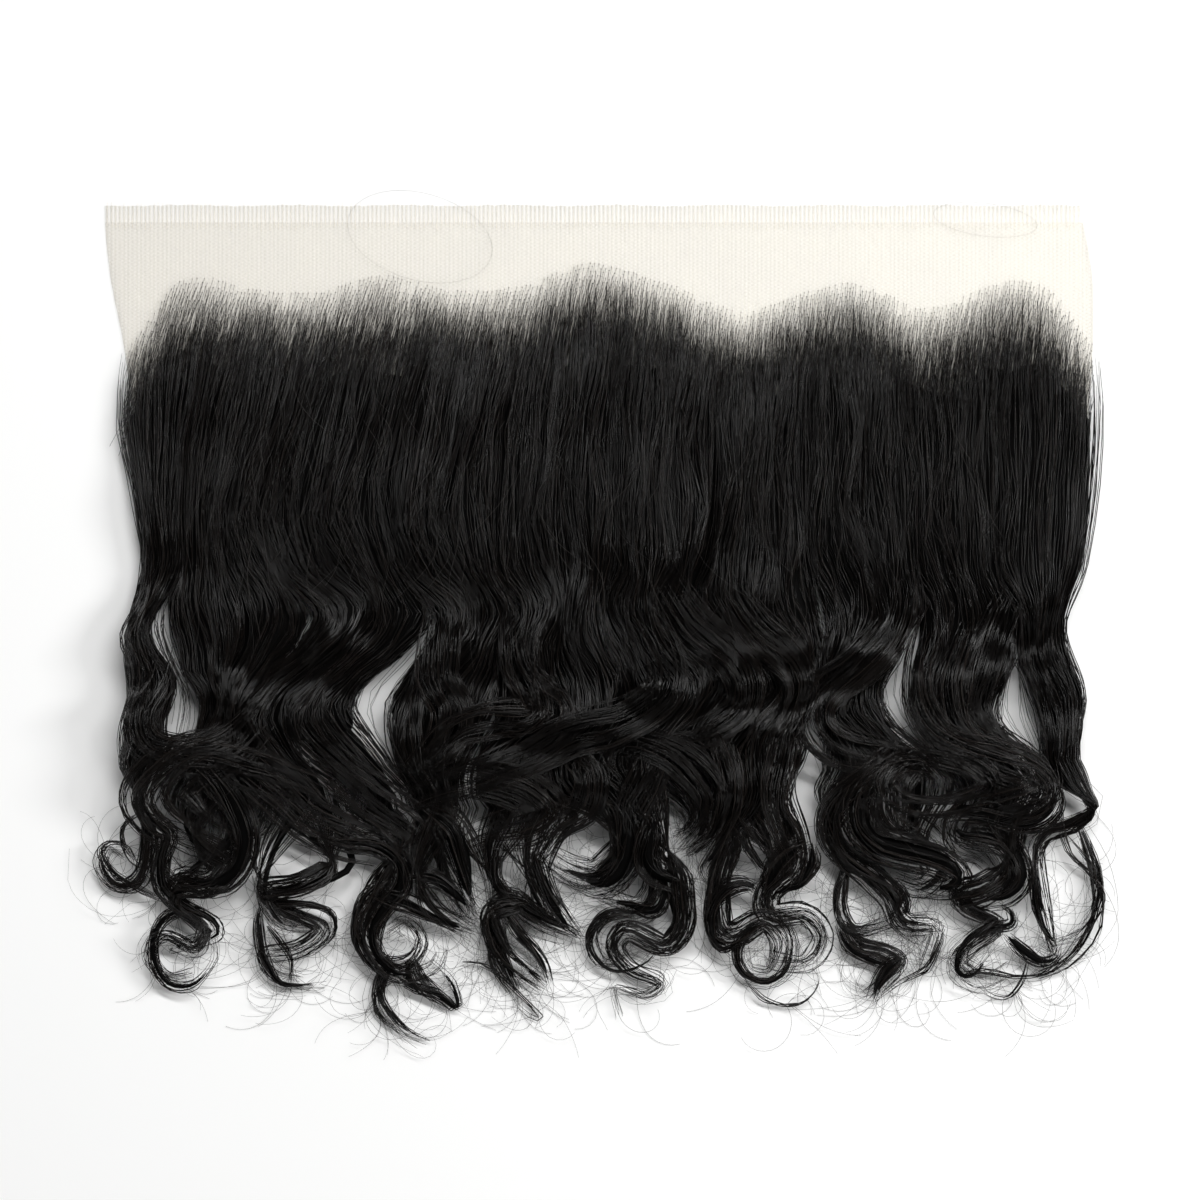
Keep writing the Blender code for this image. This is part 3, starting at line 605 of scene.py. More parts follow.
# Locks that lie over the others: width as a share of a section's, height over the hair in
# metres, and the route in thousandths: across and down in turn
overLocks = [
    (0.40, 0.0022, [-900, 470, -920, 520, -955, 560, -945, 600, -880, 615, -780, 620, -660, 645,
        -550, 675, -480, 700]),
    (0.12, 0.0010, [-950, 360, -955, 410, -990, 460, -975, 500, -980, 550, -1000, 600, -980, 650,
        -950, 680]),
    (0.60, 0.0020, [-700, 560, -770, 605, -860, 635, -900, 670, -860, 705, -790, 730, -755, 765]),
    (0.40, 0.0026, [-760, 600, -860, 610, -930, 640, -965, 680, -930, 715, -870, 725, -840, 745]),
    (0.60, 0.0014, [-780, 610, -680, 660, -610, 700, -530, 725, -460, 745, -430, 780]),
    (0.50, 0.0012, [-620, 600, -540, 650, -470, 685, -400, 720, -375, 760, -360, 790]),
    (0.40, 0.0016, [-220, 470, -170, 530, -160, 565, -250, 570, -330, 590, -390, 630, -440, 665]),
    (0.50, 0.0024, [40, 420, 100, 470, 110, 530, 30, 570, -80, 590, -180, 620, -280, 645, -400, 670,
        -500, 700]),
    (0.40, 0.0012, [-200, 420, -185, 500, -140, 535, -100, 555, -120, 590, -180, 610, -260, 622]),
    (0.50, 0.0008, [-340, 420, -350, 480, -350, 520, -320, 560, -340, 610, -420, 650]),
    (0.50, 0.0014, [-360, 640, -260, 650, -170, 665, -130, 690, -170, 715, -260, 730, -330, 750]),
    (0.40, 0.0012, [-100, 600, -40, 640, -50, 690, -110, 720, -140, 760, -130, 800]),
    (0.50, 0.0014, [100, 380, 170, 450, 260, 500, 270, 550, 210, 585, 120, 600, 40, 610]),
    (0.50, 0.0010, [220, 380, 290, 450, 370, 500, 380, 550, 340, 600, 300, 640]),
    (0.40, 0.0016, [0, 600, 60, 600, 140, 625, 195, 670, 180, 710, 130, 740]),
    (0.45, 0.0010, [100, 580, 80, 640, 40, 690, 40, 730, 0, 770, -70, 790]),
    (0.30, 0.0012, [200, 570, 235, 620, 245, 670, 220, 720, 200, 760]),
    (0.40, 0.0014, [370, 560, 350, 620, 335, 680, 365, 730, 375, 770, 330, 800]),
    (0.50, 0.0012, [600, 380, 575, 450, 500, 505, 435, 540, 420, 580, 470, 610, 560, 620,
        660, 630]),
    (0.35, 0.0022, [680, 420, 635, 480, 625, 530, 650, 575, 700, 600, 780, 615, 870, 640, 890, 670,
        820, 695, 730, 700]),
    (0.50, 0.0014, [750, 420, 710, 480, 690, 530, 710, 580, 760, 610, 840, 640, 860, 670,
        800, 690]),
    (0.40, 0.0010, [820, 400, 780, 460, 750, 520, 740, 560, 780, 600, 850, 630, 900, 660]),
    (0.40, 0.0016, [640, 600, 560, 630, 480, 670, 455, 710, 480, 750, 550, 770]),
    (0.60, 0.0012, [640, 600, 570, 640, 555, 680, 580, 710, 640, 730, 680, 760]),
    (0.45, 0.0022, [880, 620, 880, 665, 800, 690, 725, 700, 710, 730, 760, 750, 790, 775]),
    (0.30, 0.0026, [500, 620, 580, 622, 660, 617, 740, 635, 770, 660, 700, 680, 610, 680, 560, 660,
        585, 635, 630, 632, 645, 650, 610, 660]),
]
overLocks = [(*lock[:2], inRows(lock[2], 2)) for lock in overLocks]


def rootDowns(rng, across):      # how far behind the hairline each strand is tied in
    behind = 0.012 + 0.071 * rng.uniform(0, 1, len(across))**0.9
    return throughRows(hairline["across"], hairline["down"], across) + behind + cornerDrop(across)


def bandPaths(rng, section, u, level, rootDown, endDown, samples):      # strands from root to lock
    t = np.linspace(0, 1, samples)[None, :]
    down = rootDown[:, None] + (endDown[:, None] - rootDown[:, None]) * t
    drift = rng.normal(0, 0.012, (len(u), 1)) * np.sin(np.pi * t) * 2
    risen = smoothStep(0.0, 0.07, down - rootDown[:, None])
    off = u[:, None] - 0.5
    spread = np.where(off < 0, sideSpread(section, down), sideSpread(section + 1, down))
    place = 0.5 + off * (1 + spread) + drift
    paths = bandPoint(section, place, down, level[:, None] * (0.25 + 0.75 * risen))
    loose = smoothStep(0.0, 0.10, down - rootDown[:, None])[..., None]
    length = frontal["hairLength"] * 0.6
    own = waver(rng, len(u), samples, length, wavelength=0.034, size=0.00030) * [1.0, 0.3, 2.8]
    across = paths[..., 0] / frontal["halfWidth"]
    calm = 1 - np.clip(np.abs(across), 0, 1)**6
    together = (np.sin(29 * down + 31 * across) + 0.7 * np.sin(41 * down - 67 * across + 1)
                + 0.5 * np.sin(35 * down + 150 * across + 2)) * strandLook["wander"] * calm
    swing = np.stack([together, 0 * together, 0.5 * np.roll(together, 9, axis=1)], -1)
    return paths + (own + swing) * loose


def strandRadii(rng, look, count, places, rooted):      # thin at the root and again at the tip
    along = np.linspace(0, 1, places)[None, :]
    top = look["topShare"] if rooted else 1.0
    start = look["rootRadius"] / look["radius"] if rooted else 0.4
    radii = start + (1 - start) * smoothStep(0.0, 0.10, along)
    radii = radii * (1 - (1 - look["tipRadius"] / look["radius"]) * smoothStep(0.6, 1.0, along))
    radii = radii * (top + (1.08 - top) * smoothStep(0.40, 0.70, along))
    return radii * look["radius"] * rng.uniform(0.75, 1.15, (count, 1))


def ropePaths(rng, look, path, length, half, flatness, a, b):      # strands round a lock's line
    samples, count = len(path), len(a)
    _, sides, ups = pathFrames(path)
    s = np.linspace(0, 1, samples)[None, :]
    clumps = max(2, count // look["clumpSize"])
    middles = rng.permutation(count)[:clumps]
    clump = np.argmin((a[:, None] - a[middles][None, :])**2
                      + 0.4 * (b[:, None] - b[middles][None, :])**2, axis=1)
    gather = look["gather"] * smoothStep(0.10, 0.75, s)
    spread = rng.normal(-0.05, 0.16, clumps) + look["stray"] * (rng.uniform(0, 1, clumps) < 0.16)
    reach = 1 + smoothStep(0.15, 0.8, s) * spread[clump][:, None]
    offA = (a[:, None] * (1 - gather) + a[middles][clump][:, None] * gather) * reach
    offB = b[:, None] * (1 - gather) + b[middles][clump][:, None] * gather
    paths = (path[None] + sides[None] * (offA * half[None])[..., None]
             + ups[None] * (offB * half[None] * flatness)[..., None])
    clumpWander = waver(rng, clumps, samples, length, wavelength=0.040, size=0.00042)[clump]
    ownWander = waver(rng, count, samples, length, wavelength=0.03, size=look["looseness"] * 0.0012)
    return paths + (clumpWander + ownWander) * smoothStep(0.05, 0.5, s)[..., None]


def lockSpots(rng, count):      # places in a lock's round section, most of them near its top
    a = rng.permutation(np.linspace(-1, 1, count)) + rng.normal(0, 0.02, count)
    b = (1 - 1.5 * rng.uniform(0, 1, count)**1.4) * np.sqrt(np.clip(1 - a * a, 0.08, 1))
    return a, b


# Where a rooted strand's rings stand on its way to its lock, closer towards the curls
bandRingShares = np.concatenate([np.linspace(0, 0.10, 2, endpoint=False),
                                 np.linspace(0.10, 0.50, 4, endpoint=False),
                                 np.linspace(0.50, 1.0, 17, endpoint=False)])


def addLockStrands(batch, rng, lock, look):      # some run to the lock's tip, the others end early
    section, rootFrom, rootTo, width, route = lock
    tied = rootTo > rootFrom
    samples = 220
    path, length = routePath(route, samples)
    s = np.linspace(0, 1, samples)
    full = (1 + 0.80 * np.clip(1 - s / 0.35, 0, 1)**1.5
            - 0.35 * np.clip((s - 0.45) / 0.55, 0, 1)**1.4)
    half = width * sectionWidth / 2 * full
    if not tied:
        half = half * (0.30 + 0.70 * smoothStep(0.0, 0.30, s))
    lasting = int(look["perWidth"] * width)
    early = int(look["perSection"] * (rootTo - rootFrom))
    count = lasting + early
    a, b = lockSpots(rng, count)
    paths = ropePaths(rng, look, path, length, half, 0.8, a, b)
    ends = np.concatenate([1 - 0.45 * rng.uniform(0, 1, lasting)**1.5,
                           rng.uniform(0.04, 0.55, early)])
    startShare = 0.0
    if tied:
        u = rootFrom + (rootTo - rootFrom) * (0.5 + 0.5 * a) + rng.normal(0, 0.015, count)
        level = 0.50 + 0.52 * (0.5 + 0.5 * b) + rng.uniform(-0.03, 0.03, count)
        root = rootDowns(rng, sectionRootAcross(section, u))
        band = bandPaths(rng, section, u, level, root, np.full(count, route[0][1]), samples)
        gap = band[:, -1] - paths[:, 0]
        paths += gap[:, None] * (1 - smoothStep(0.0, min(0.9, 0.035 / length), s))[None, :, None]
        joined = np.concatenate([band[:, :-1], paths], axis=1)
        for _ in range(6):
            joined[:, 1:-1] = 0.25 * joined[:, :-2] + 0.5 * joined[:, 1:-1] + 0.25 * joined[:, 2:]
        startShare = (samples - 1) / (joined.shape[1] - 1)
        paths = joined
    curl = ringPlaces(path, length, look["turnPerRing"], look["ringPerMetre"])
    for group, last in ((slice(0, lasting), 1.0), (slice(lasting, count), 0.55)):
        chosen = ends[group]
        if not len(chosen):
            continue
        rings = max(4, int(len(curl) * last))
        spaced = np.interp(np.linspace(0, 1, rings), np.linspace(0, 1, len(curl)), curl)
        begins = np.zeros(len(chosen)) if tied else rng.uniform(0, 0.16, len(chosen))
        places = begins[:, None] + (chosen - begins)[:, None] * spaced[None, :]
        places = startShare + (1 - startShare) * places
        if tied:
            front = bandRingShares * startShare
            places = np.concatenate([np.repeat(front[None], len(chosen), axis=0), places], axis=1)
        rung = sampleAt(paths[group], places)
        radii = strandRadii(rng, look, len(chosen), places.shape[1], tied)
        rung[..., 2] = np.maximum(rung[..., 2], radii * 1.2)
        batch.add(rung, radii, rng.uniform(0, 1, len(chosen)))


def addOverLock(batch, rng, lock, look):      # a flat lock that comes up and lies over the hair
    width, lift, rows = lock
    samples = 160
    flat, length = routePath([(across, down, 0) for across, down in rows], samples)
    s = np.linspace(0, 1, samples)
    half = width * sectionWidth / 2 * (0.75 + 0.25 * np.sin(np.pi * s)) * (1 - 0.35 * s**3)
    count = int(look["perOverLock"] * width)
    a, b = lockSpots(rng, count)
    paths = ropePaths(rng, look, flat, length, half, 0.0, a, b)
    down = -paths[..., 1] / frontal["hairLength"]
    ground = hairTop(paths[..., 0] / frontal["halfWidth"], down)
    ground = ground * (1 - 0.55 * smoothStep(0.66, 0.80, down))
    rise = smoothStep(0.0, 0.25, s) - 0.9 * smoothStep(0.85, 1.0, s)
    bulge = (0.35 + 0.65 * (0.5 + 0.5 * b[:, None])) * (1 - 0.5 * a[:, None]**2)
    sunk = 0.0012      # how deep in the hair it starts
    paths[..., 2] = ground - sunk + (sunk + lift * bulge) * rise[None] + rng.uniform(
        -0.0002, 0.0002, (count, 1))
    begins = rng.uniform(0, 0.25, count)
    ends = 1 - 0.25 * rng.uniform(0, 1, count)
    rings = ringPlaces(flat, length, look["turnPerRing"], look["ringPerMetre"] * 1.5)
    places = begins[:, None] + (ends - begins)[:, None] * rings[None, :]
    radii = strandRadii(rng, look, count, len(rings), False)
    batch.add(sampleAt(paths, places), radii, rng.uniform(0, 1, count))


def curlRoute(curl):      # with its height worked out between its start and its end
    rises = np.linspace(curl[1], curl[2], len(curl[3]))
    return [(across, down, rise) for (across, down), rise in zip(curl[3], rises)]


def addLooseCurl(batch, rng, curl, look):
    finer = {**look, "perWidth": look["perCurl"], "radius": look["curlRadius"]}
    width = curl[0] * look["curlWidth"]
    addLockStrands(batch, rng, (0, 0.0, 0.0, width, curlRoute(curl)), finer)


coreLook = {
    "share": 0.42,              # of a lock's half width
    "topShare": 0.66,           # of the hair's height
    "startDown": 0.102,
    "endDown": 0.60,
    "startThick": 0.04,
    "thickening": 3.2,          # for each share of the hair's length
    "overlap": 0.16,            # over its neighbours, near the hairline
    "inset": 0.12,              # at the hair's own two sides
    "ragged": 0.026,
    "sides": 8,
    "rings": 26,
    "columns": 13,
    "leastCurl": 0.12,          # narrower loose curls have no core
}


def addTube(form, line, halves, thicks):      # a flat closed tube along a line
    sidesCount = coreLook["sides"]
    _, sides, ups = pathFrames(line)
    last = None
    for point, side, up, half, thick in zip(line, sides, ups, halves, thicks):
        spots = []
        for k in range(sidesCount):
            turn = 2 * math.pi * k / sidesCount
            spot = point + side * half * math.cos(turn) + up * thick * math.sin(turn)
            spots.append(form.verts.new((spot[0], spot[1], max(spot[2], 0.0002))))
        if last:
            for k in range(sidesCount):
                n = (k + 1) % sidesCount
                form.faces.new((last[k], last[n], spots[n], spots[k]))
        else:
            form.faces.new(spots[::-1])
        last = spots
    form.faces.new(last)


def bandCore(form, section):      # a section's dark heart, so that no light comes through it; its near-black, matte finish is painted shade
    look = coreLook
    outerLeft, outerRight = section == 0, section == frontal["sectionCount"] - 1
    u = np.linspace(0.05 if outerLeft else 0.02, 0.95 if outerRight else 0.98, look["columns"])
    inner = (u < 0.5) & (not outerLeft) | (u > 0.5) & (not outerRight)
    rings = []
    for down in np.linspace(look["startDown"], look["endDown"], look["rings"]):
        shrink = math.sqrt(max(0.03, 1 - max(0.0, (down - look["endDown"] + 0.06) / 0.06)**2))
        thin = look["startThick"] + look["thickening"] * (down - look["startDown"])
        thin = min(1.0, thin) * look["topShare"]
        reach = 1 + np.where(inner, look["overlap"] * (1 - smoothStep(0.32, 0.40, down)),
                             -look["inset"] * (1 - smoothStep(0.12, 0.26, down)))
        wide = 0.5 + (u - 0.5) * (0.55 + 0.45 * shrink) * reach
        across = sectionRootAcross(section, wide)
        rooted = (2.0 * cornerDrop(across)
                  + 0.8 * throughRows(hairline["across"], hairline["down"], across)
                  + look["ragged"] * np.sin(37 * wide + 5 * section)**2)
        front = rooted * (1 - smoothStep(0.13, 0.38, down))
        top = bandPoint(section, wide, down + front, thin * (0.3 + 0.7 * shrink))
        low = bandPoint(section, wide[::-6], down + front[::-6], 0.0) + [0, 0, 0.0001]
        ring = [form.verts.new(point) for point in np.vstack([top, low])]
        if rings:
            for k in range(len(ring)):
                n = (k + 1) % len(ring)
                form.faces.new((rings[-1][k], rings[-1][n], ring[n], ring[k]))
        rings.append(ring)
    for ring, order in ((rings[0], -1), (rings[-1], 1)):      # both ends closed with a fan
        others = [point for point in ring[-1:] + ring[:-2]][::order]
        for p, q in zip(others, others[1:]):
            form.faces.new((ring[-2], p, q))


def lockCore(form, lock):      # the heart runs on into each rooted lock and thins out there
    section, rootFrom, rootTo, width, route = lock
    path, length = routePath(route, 90)
    path = path[:max(6, int(90 * min(0.85, 0.070 / length)))]
    lead = np.linspace(0.50, route[0][1], 30)
    band = bandPoint(section, np.full(30, (rootFrom + rootTo) / 2), lead, 0.42)
    fade = 1 - smoothStep(0, 1, np.linspace(0, 1, len(path)))
    path = path + (band[-1] - path[0]) * fade[:, None]
    line = np.concatenate([band[:-1], path])
    for _ in range(8):
        line[1:-1] = 0.25 * line[:-2] + 0.5 * line[1:-1] + 0.25 * line[2:]
    line = line[::3]
    middle = np.array(0.52)
    room = sideAcross(section + 1, middle, -1) - sideAcross(section, middle, 1)
    wideAt = (rootTo - rootFrom) * float(room) * frontal["halfWidth"] * 0.40
    thinAt = width * sectionWidth / 2 * coreLook["share"]
    share = np.linspace(0, 1, len(line))
    halves = (wideAt + (thinAt - wideAt) * smoothStep(0.1, 0.5, share)) * (1 - share)**0.35
    halves = halves * (0.1 + 0.9 * smoothStep(0.0, 0.18, share)) + 0.0001
    addTube(form, line, halves, np.minimum(halves * 0.7, 0.0022 + 0.3 * thinAt))


def makeCores(section):
    name = f"hair_core_{section + 1:02d}"
    form = bmesh.new()
    bandCore(form, section)
    for lock in locks:
        if lock[0] == section and lock[2] > lock[1]:
            lockCore(form, lock)
    makePiece(name, toMesh(form, name), shadeCoreHair)


def makeCurlCores(curls, name):      # the same inside the loose curls
    form = bmesh.new()
    for curl in curls:
        width = curl[0]
        if width < coreLook["leastCurl"]:
            continue
        path, _ = routePath(curlRoute(curl), 90)
        line = path[8:76:3]
        share = np.linspace(0, 1, len(line))
        full = np.sin(np.pi * (0.04 + 0.94 * share))**0.6
        halves = width * sectionWidth / 2 * coreLook["share"] * full
        addTube(form, line, halves, np.minimum(halves * 0.7, 0.0024))
    makePiece(name, toMesh(form, name), shadeCoreHair)


for section in range(frontal["sectionCount"]):
    rng = np.random.default_rng(strandLook["seed"] + section)
    batch = StrandBatch()
    for lock in locks:
        if lock[0] == section:
            addLockStrands(batch, rng, lock, strandLook)
    piece = batch.make(f"hair_strands_{section + 1:02d}", darkHair)
    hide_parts(f"hair_section_{section + 1:02d}")
    makeCores(section)
for side, name in ((-1, "left"), (1, "right")):      # by the side where each lock ends
    rng = np.random.default_rng(strandLook["seed"] + 40 + side)
    batch = StrandBatch()
    for lock in overLocks:
        if lock[2][-1][0] * side >= 0:
            addOverLock(batch, rng, lock, strandLook)
    batch.make(f"over_locks_{name}", darkHair)
for side, name in ((-1, "left"), (1, "right")):
    rng = np.random.default_rng(strandLook["seed"] + 60 + side)
    batch = StrandBatch()
    curls = [curl for curl in looseCurls if curl[3][-1][0] * side >= 0]
    for curl in curls:
        addLooseCurl(batch, rng, curl, strandLook)
    batch.make(f"loose_curls_{name}", darkHair)
    makeCurlCores(curls, f"curls_{name}_core")
print("sections done")


# The front rows: a knot and a short fine hair at each hole of the net, thicker hairs behind them
hairlineLook = {
    "seed": 11,
    "pitch": 0.00145,           # from hole to hole, in metres
    "depth": 0.105,             # of all the rows, as a share of the hair's length
    "lead": 0.0015,             # how far the first row stands in front of the hairline's table
    "length": 0.012,
    "radius": 0.00007,
    "knotRadius": 0.00026,
    "knotRows": 9,              # rows whose knots show
    "knotHeight": frontal["laceTop"] + 0.0002,
    "under": 1300,
    "underRadius": 0.00022,
    "rings": 3,
    "leanAcross": [-1, -0.5, 0, 0.4, 1],
    "lean": [0.30, 0.30, 0.22, 0.16, 0.26],
    "underLean": [0.22, 0.22, 0.16, 0.11, 0.16],
}


def tiedHoles(rng):      # x, y, share across and row of each hole with a hair
    look = hairlineLook
    columns = int(2 * frontal["halfWidth"] / look["pitch"])
    rowCount = int(look["depth"] * frontal["hairLength"] / look["pitch"])
    column, row = np.meshgrid(np.arange(columns), np.arange(rowCount))
    column, row = column.ravel(), row.ravel()
    keep = rng.uniform(0, 1, len(row)) < 0.75 + 0.25 * np.clip(row / 3, 0, 1)
    column, row = column[keep], row[keep]
    x = (column + 0.5 * (row % 2) + rng.uniform(-0.2, 0.2, len(row))) * look["pitch"]
    x = x - frontal["halfWidth"]
    across = x / frontal["halfWidth"]
    top = throughRows(hairline["across"], hairline["down"], across) * frontal["hairLength"]
    ragged = 0.0006 * np.sin(31 * across) + 0.0003 * np.sin(73 * across + 1)
    corner = np.clip((np.abs(across) - 0.90) / 0.09, 0, 1)**2 * 0.010
    back = (row + rng.uniform(-0.2, 0.2, len(row))) * look["pitch"]
    y = look["lead"] - top - ragged - corner - back
    inside = np.abs(across) < 0.990
    return x[inside], y[inside], across[inside], row[inside]


def hairlineHairs(rng, x, y, across, row):
    look = hairlineLook
    count = len(x)
    t = np.linspace(0, 1, look["rings"])[None, :]
    length = look["length"] * rng.uniform(0.6, 1.25, (count, 1))
    lean = np.interp(across, look["leanAcross"], look["lean"])
    lean = lean[:, None] + rng.normal(0, 0.05, (count, 1))
    bend = rng.normal(-0.04, 0.10, (count, 1))
    arch = 0.0010 * np.sin(np.pi * t * 0.55) * rng.uniform(0.5, 1.3, (count, 1))
    z = look["knotHeight"] + arch + 0.0016 * t * (row[:, None] > 8)
    sideways = length * (lean * t + bend * t * t)
    paths = np.stack([x[:, None] - sideways, y[:, None] - length * t, z], -1)
    radii = look["radius"] * rng.uniform(0.7, 1.2, (count, 1)) * (1 - 0.4 * t)
    radii = radii * np.clip(0.70 + 0.080 * row, 0, 1.7)[:, None]
    batch = StrandBatch()
    batch.add(paths, radii, rng.uniform(0, 1, count))
    batch.make("hairline_hairs", fineHair)


def hairlineKnots(rng, x, y, row):
    look = hairlineLook
    middle = np.stack([x, y, np.full(len(x), look["knotHeight"])], -1)[row < look["knotRows"]]
    step = np.array([0.00012, 0.00010, 0.0])
    paths = np.stack([middle - step, middle + step], 1)
    radii = look["knotRadius"] * rng.uniform(0.75, 1.15, (len(middle), 1)) * np.array([[1.0, 0.8]])
    batch = StrandBatch()
    batch.add(paths, radii, rng.uniform(0, 0.5, len(middle)))
    batch.make("hairline_knots", fineHair)


def underHairs(rng):      # thicker hairs that close the band behind the rows
    look = hairlineLook
    count = look["under"]
    t = np.linspace(0, 1, look["rings"])[None, :]
    across = rng.permutation(np.linspace(-0.975, 0.975, count))
    down = throughRows(hairline["across"], hairline["down"], across) * 0.85 + 0.040
    down = down + 0.050 * rng.uniform(0, 1, count) + cornerDrop(across)
    length = rng.uniform(0.022, 0.034, count)[:, None]
    lean = np.interp(across, look["leanAcross"], look["underLean"])[:, None]
    lean = (lean * np.clip((0.97 - np.abs(across[:, None])) / 0.12, 0, 1)
            + rng.normal(0, 0.03, (count, 1)))
    x = across[:, None] * frontal["halfWidth"] - length * lean * t
    y = -down[:, None] * frontal["hairLength"] - length * t
    z = frontal["laceTop"] + 0.0005 + (0.0012 + 0.0008 * rng.uniform(0, 1, (count, 1))) * t
    taper = np.clip(0.25 + 1.9 * t, 0, 1) * (1 - 0.5 * t**3)
    radii = look["underRadius"] * taper * np.ones((count, 1))
    batch = StrandBatch()
    batch.add(np.stack([x, y, z], -1), radii, rng.uniform(0, 0.6, count))
    batch.make("hairline_under", darkHair)


hairlineRng = np.random.default_rng(hairlineLook["seed"])
x, y, across, row = tiedHoles(hairlineRng)
hairlineHairs(hairlineRng, x, y, across, row)
hairlineKnots(hairlineRng, x, y, row)
underHairs(hairlineRng)
print("hairline done")


# Single fine hairs round the curls and over the hair's surface
flyawayLook = {
    "seed": 23,
    "radius": 0.00007,
    "perLock": 5,
    "wanderers": 1200,          # that leave the curls in curves of their own
    "perSlit": 300,             # for a slit as wide as half the hair
    "surface": 200,
    "wandererRings": 14,
    "surfaceRings": 10,
    "reach": 0.006,             # past the solids' box, in metres
}


def fineRadii(count, rings):      # thinner towards the tip
    taper = 1 - 0.4 * np.linspace(0, 1, rings)[None, :]
    return flyawayLook["radius"] * taper * np.ones((count, 1))


def lockFlyaways(batch, rng):
    count, samples = flyawayLook["perLock"], 160
    s = np.linspace(0, 1, samples)[None, :]
    for _, _, _, width, route in locks:
        path, length = routePath(route, samples)
        _, sides, ups = pathFrames(path)
        a = np.clip(rng.normal(0, 1.3, (count, 1)), -2.2, 2.2) * (0.6 + 0.8 * s)
        b = rng.uniform(-0.5, 2.0, (count, 1)) + 0 * s
        half = width * sectionWidth / 2 + 0.001
        paths = (path[None] + sides[None] * (a * half)[..., None]
                 + ups[None] * (b * half * 0.6)[..., None])
        paths += waver(rng, count, samples, length, wavelength=0.045, size=0.0011)
        spaced = ringPlaces(path, length, turnPerRing=0.30, ringPerMetre=130)
        places = spaced[None, :] * rng.uniform(0.7, 1.0, (count, 1))
        rung = sampleAt(paths, places + rng.uniform(0, 0.15, (count, 1)))
        rung[..., 2] = np.maximum(rung[..., 2], 0.0002)
        batch.add(rung, fineRadii(count, len(spaced)), rng.uniform(0, 1, count))


def wanderers(batch, rng):
    look = flyawayLook
    count, samples = look["wanderers"], 60
    routes = [lock[4] for lock in locks] + [curlRoute(curl) for curl in looseCurls]
    starts, headings = [], []
    for index in rng.integers(0, len(routes), count):
        path, _ = routePath(routes[index], 60)
        at = rng.integers(20, 59)
        starts.append(path[at])
        way = path[min(at + 1, 59)] - path[at - 1]
        headings.append(math.atan2(way[1], way[0]) + rng.normal(0, 0.9))
    starts, heading = np.array(starts), np.array(headings)
    turning = rng.choice([-1, 1], count) * rng.uniform(15, 150, count)
    step = rng.uniform(0.012, 0.036, count) / samples
    change = rng.uniform(-0.8, 0.8, count)
    spots = [starts]
    for i in range(samples - 1):
        heading = heading + step * turning * (1 + change * math.sin(6 * (i / samples)))
        sink = -0.25 * step * (starts[:, 2] > 0.003)
        move = np.stack([np.cos(heading) * step, np.sin(heading) * step, sink], -1)
        spots.append(spots[-1] + move)
    paths = np.stack(spots, 1)
    paths[..., 2] = np.maximum(paths[..., 2], 0.0003)
    rings = look["wandererRings"]
    rung = sampleAt(paths, np.repeat(np.linspace(0, 1, rings)[None], count, axis=0))
    inside = ((rung[..., 0].max(1) < cadBox[1][0] + look["reach"])
              & (rung[..., 0].min(1) > cadBox[0][0] - look["reach"])
              & (rung[..., 1].min(1) > cadBox[0][1] - look["reach"]))
    rung = rung[inside]
    batch.add(rung, fineRadii(len(rung), rings), rng.uniform(0, 1, len(rung)))


def slitHairs(batch, rng):      # the few hairs that cross or line each slit
    look = flyawayLook
    t = np.linspace(0, 1, 12)[None, :]
    for boundary, top, bottom, width in slits:
        count = int(look["perSlit"] * width)
        down = (top - 0.06) * (1 - t) + (bottom + 0.05) * t + rng.uniform(-0.02, 0.02, (count, 1))
        middle = throughRows(stations, boundaries[boundary], down)
        half = width / 2 * np.sin(np.pi * np.clip((down - top) / (bottom - top), 0, 1))**1.5
        off = rng.uniform(-1, 1, (count, 1))
        off = np.sign(off) * np.abs(off)**0.6
        across = middle + off * (0.9 * half + 0.012) + 0.006 * np.sin(5 * t + 6 * off)
        x = (across + sweepAt(middle, down)) * frontal["halfWidth"]
        y = -down * frontal["hairLength"]
        z = hairTop(across, down) * rng.uniform(0.45, 0.95, (count, 1))
        radii = np.full(x.shape, look["radius"] * 1.6) * (1 - 0.4 * t)
        batch.add(np.stack([x, y, z], -1), radii, rng.uniform(0, 0.5, count))


def surfaceHairs(batch, rng):
    look = flyawayLook
    count, rings = look["surface"], look["surfaceRings"]
    across = rng.uniform(-0.90, 0.90, count)[:, None]
    down = rng.uniform(0.06, 0.38, count)[:, None]
    length = rng.uniform(0.014, 0.040, count)[:, None]
    t = np.linspace(0, 1, rings)[None, :]
    calm = 1 - np.abs(across)**3
    lean = rng.normal(0, 0.20, (count, 1)) * calm
    bend = rng.normal(0, 0.50, (count, 1)) * calm
    curve = lean * t + bend * t * (t - 0.6) + 0.04 * calm * np.sin(7 * t + 40 * across)
    x = across * frontal["halfWidth"] + length * curve
    y = -down * frontal["hairLength"] - length * t
    z = hairTop(x / frontal["halfWidth"], -y / frontal["hairLength"]) + 0.0006
    radii = np.full((count, rings), look["radius"] * 0.85)
    batch.add(np.stack([x, y, z], -1), radii, rng.uniform(0.3, 1, count))


flyawayRng = np.random.default_rng(flyawayLook["seed"])
batch = StrandBatch()
for addHairs in (lockFlyaways, wanderers, slitHairs):
    addHairs(batch, flyawayRng)
batch.make("flyaway_hairs", fineHair)
# The surface hairs take the pale finish: a painted highlight
batch = StrandBatch()
surfaceHairs(batch, flyawayRng)
batch.make("surface_hairs", paleHighlightHair)
print("flyaways done")


photo = {"size": 1200, "middleX": 611, "hairlineY": 285, "metresPerPixel": 0.0003388}

# Two single hairs that lie in loops on the bare lace: middle, half sizes and tilt in photo pixels
strayLook = {
    "loops": [(420, 237, 70, 46, 0.15), (985, 220, 50, 17, 0.10)],
    "points": 44,
    "radius": 0.00004,
}


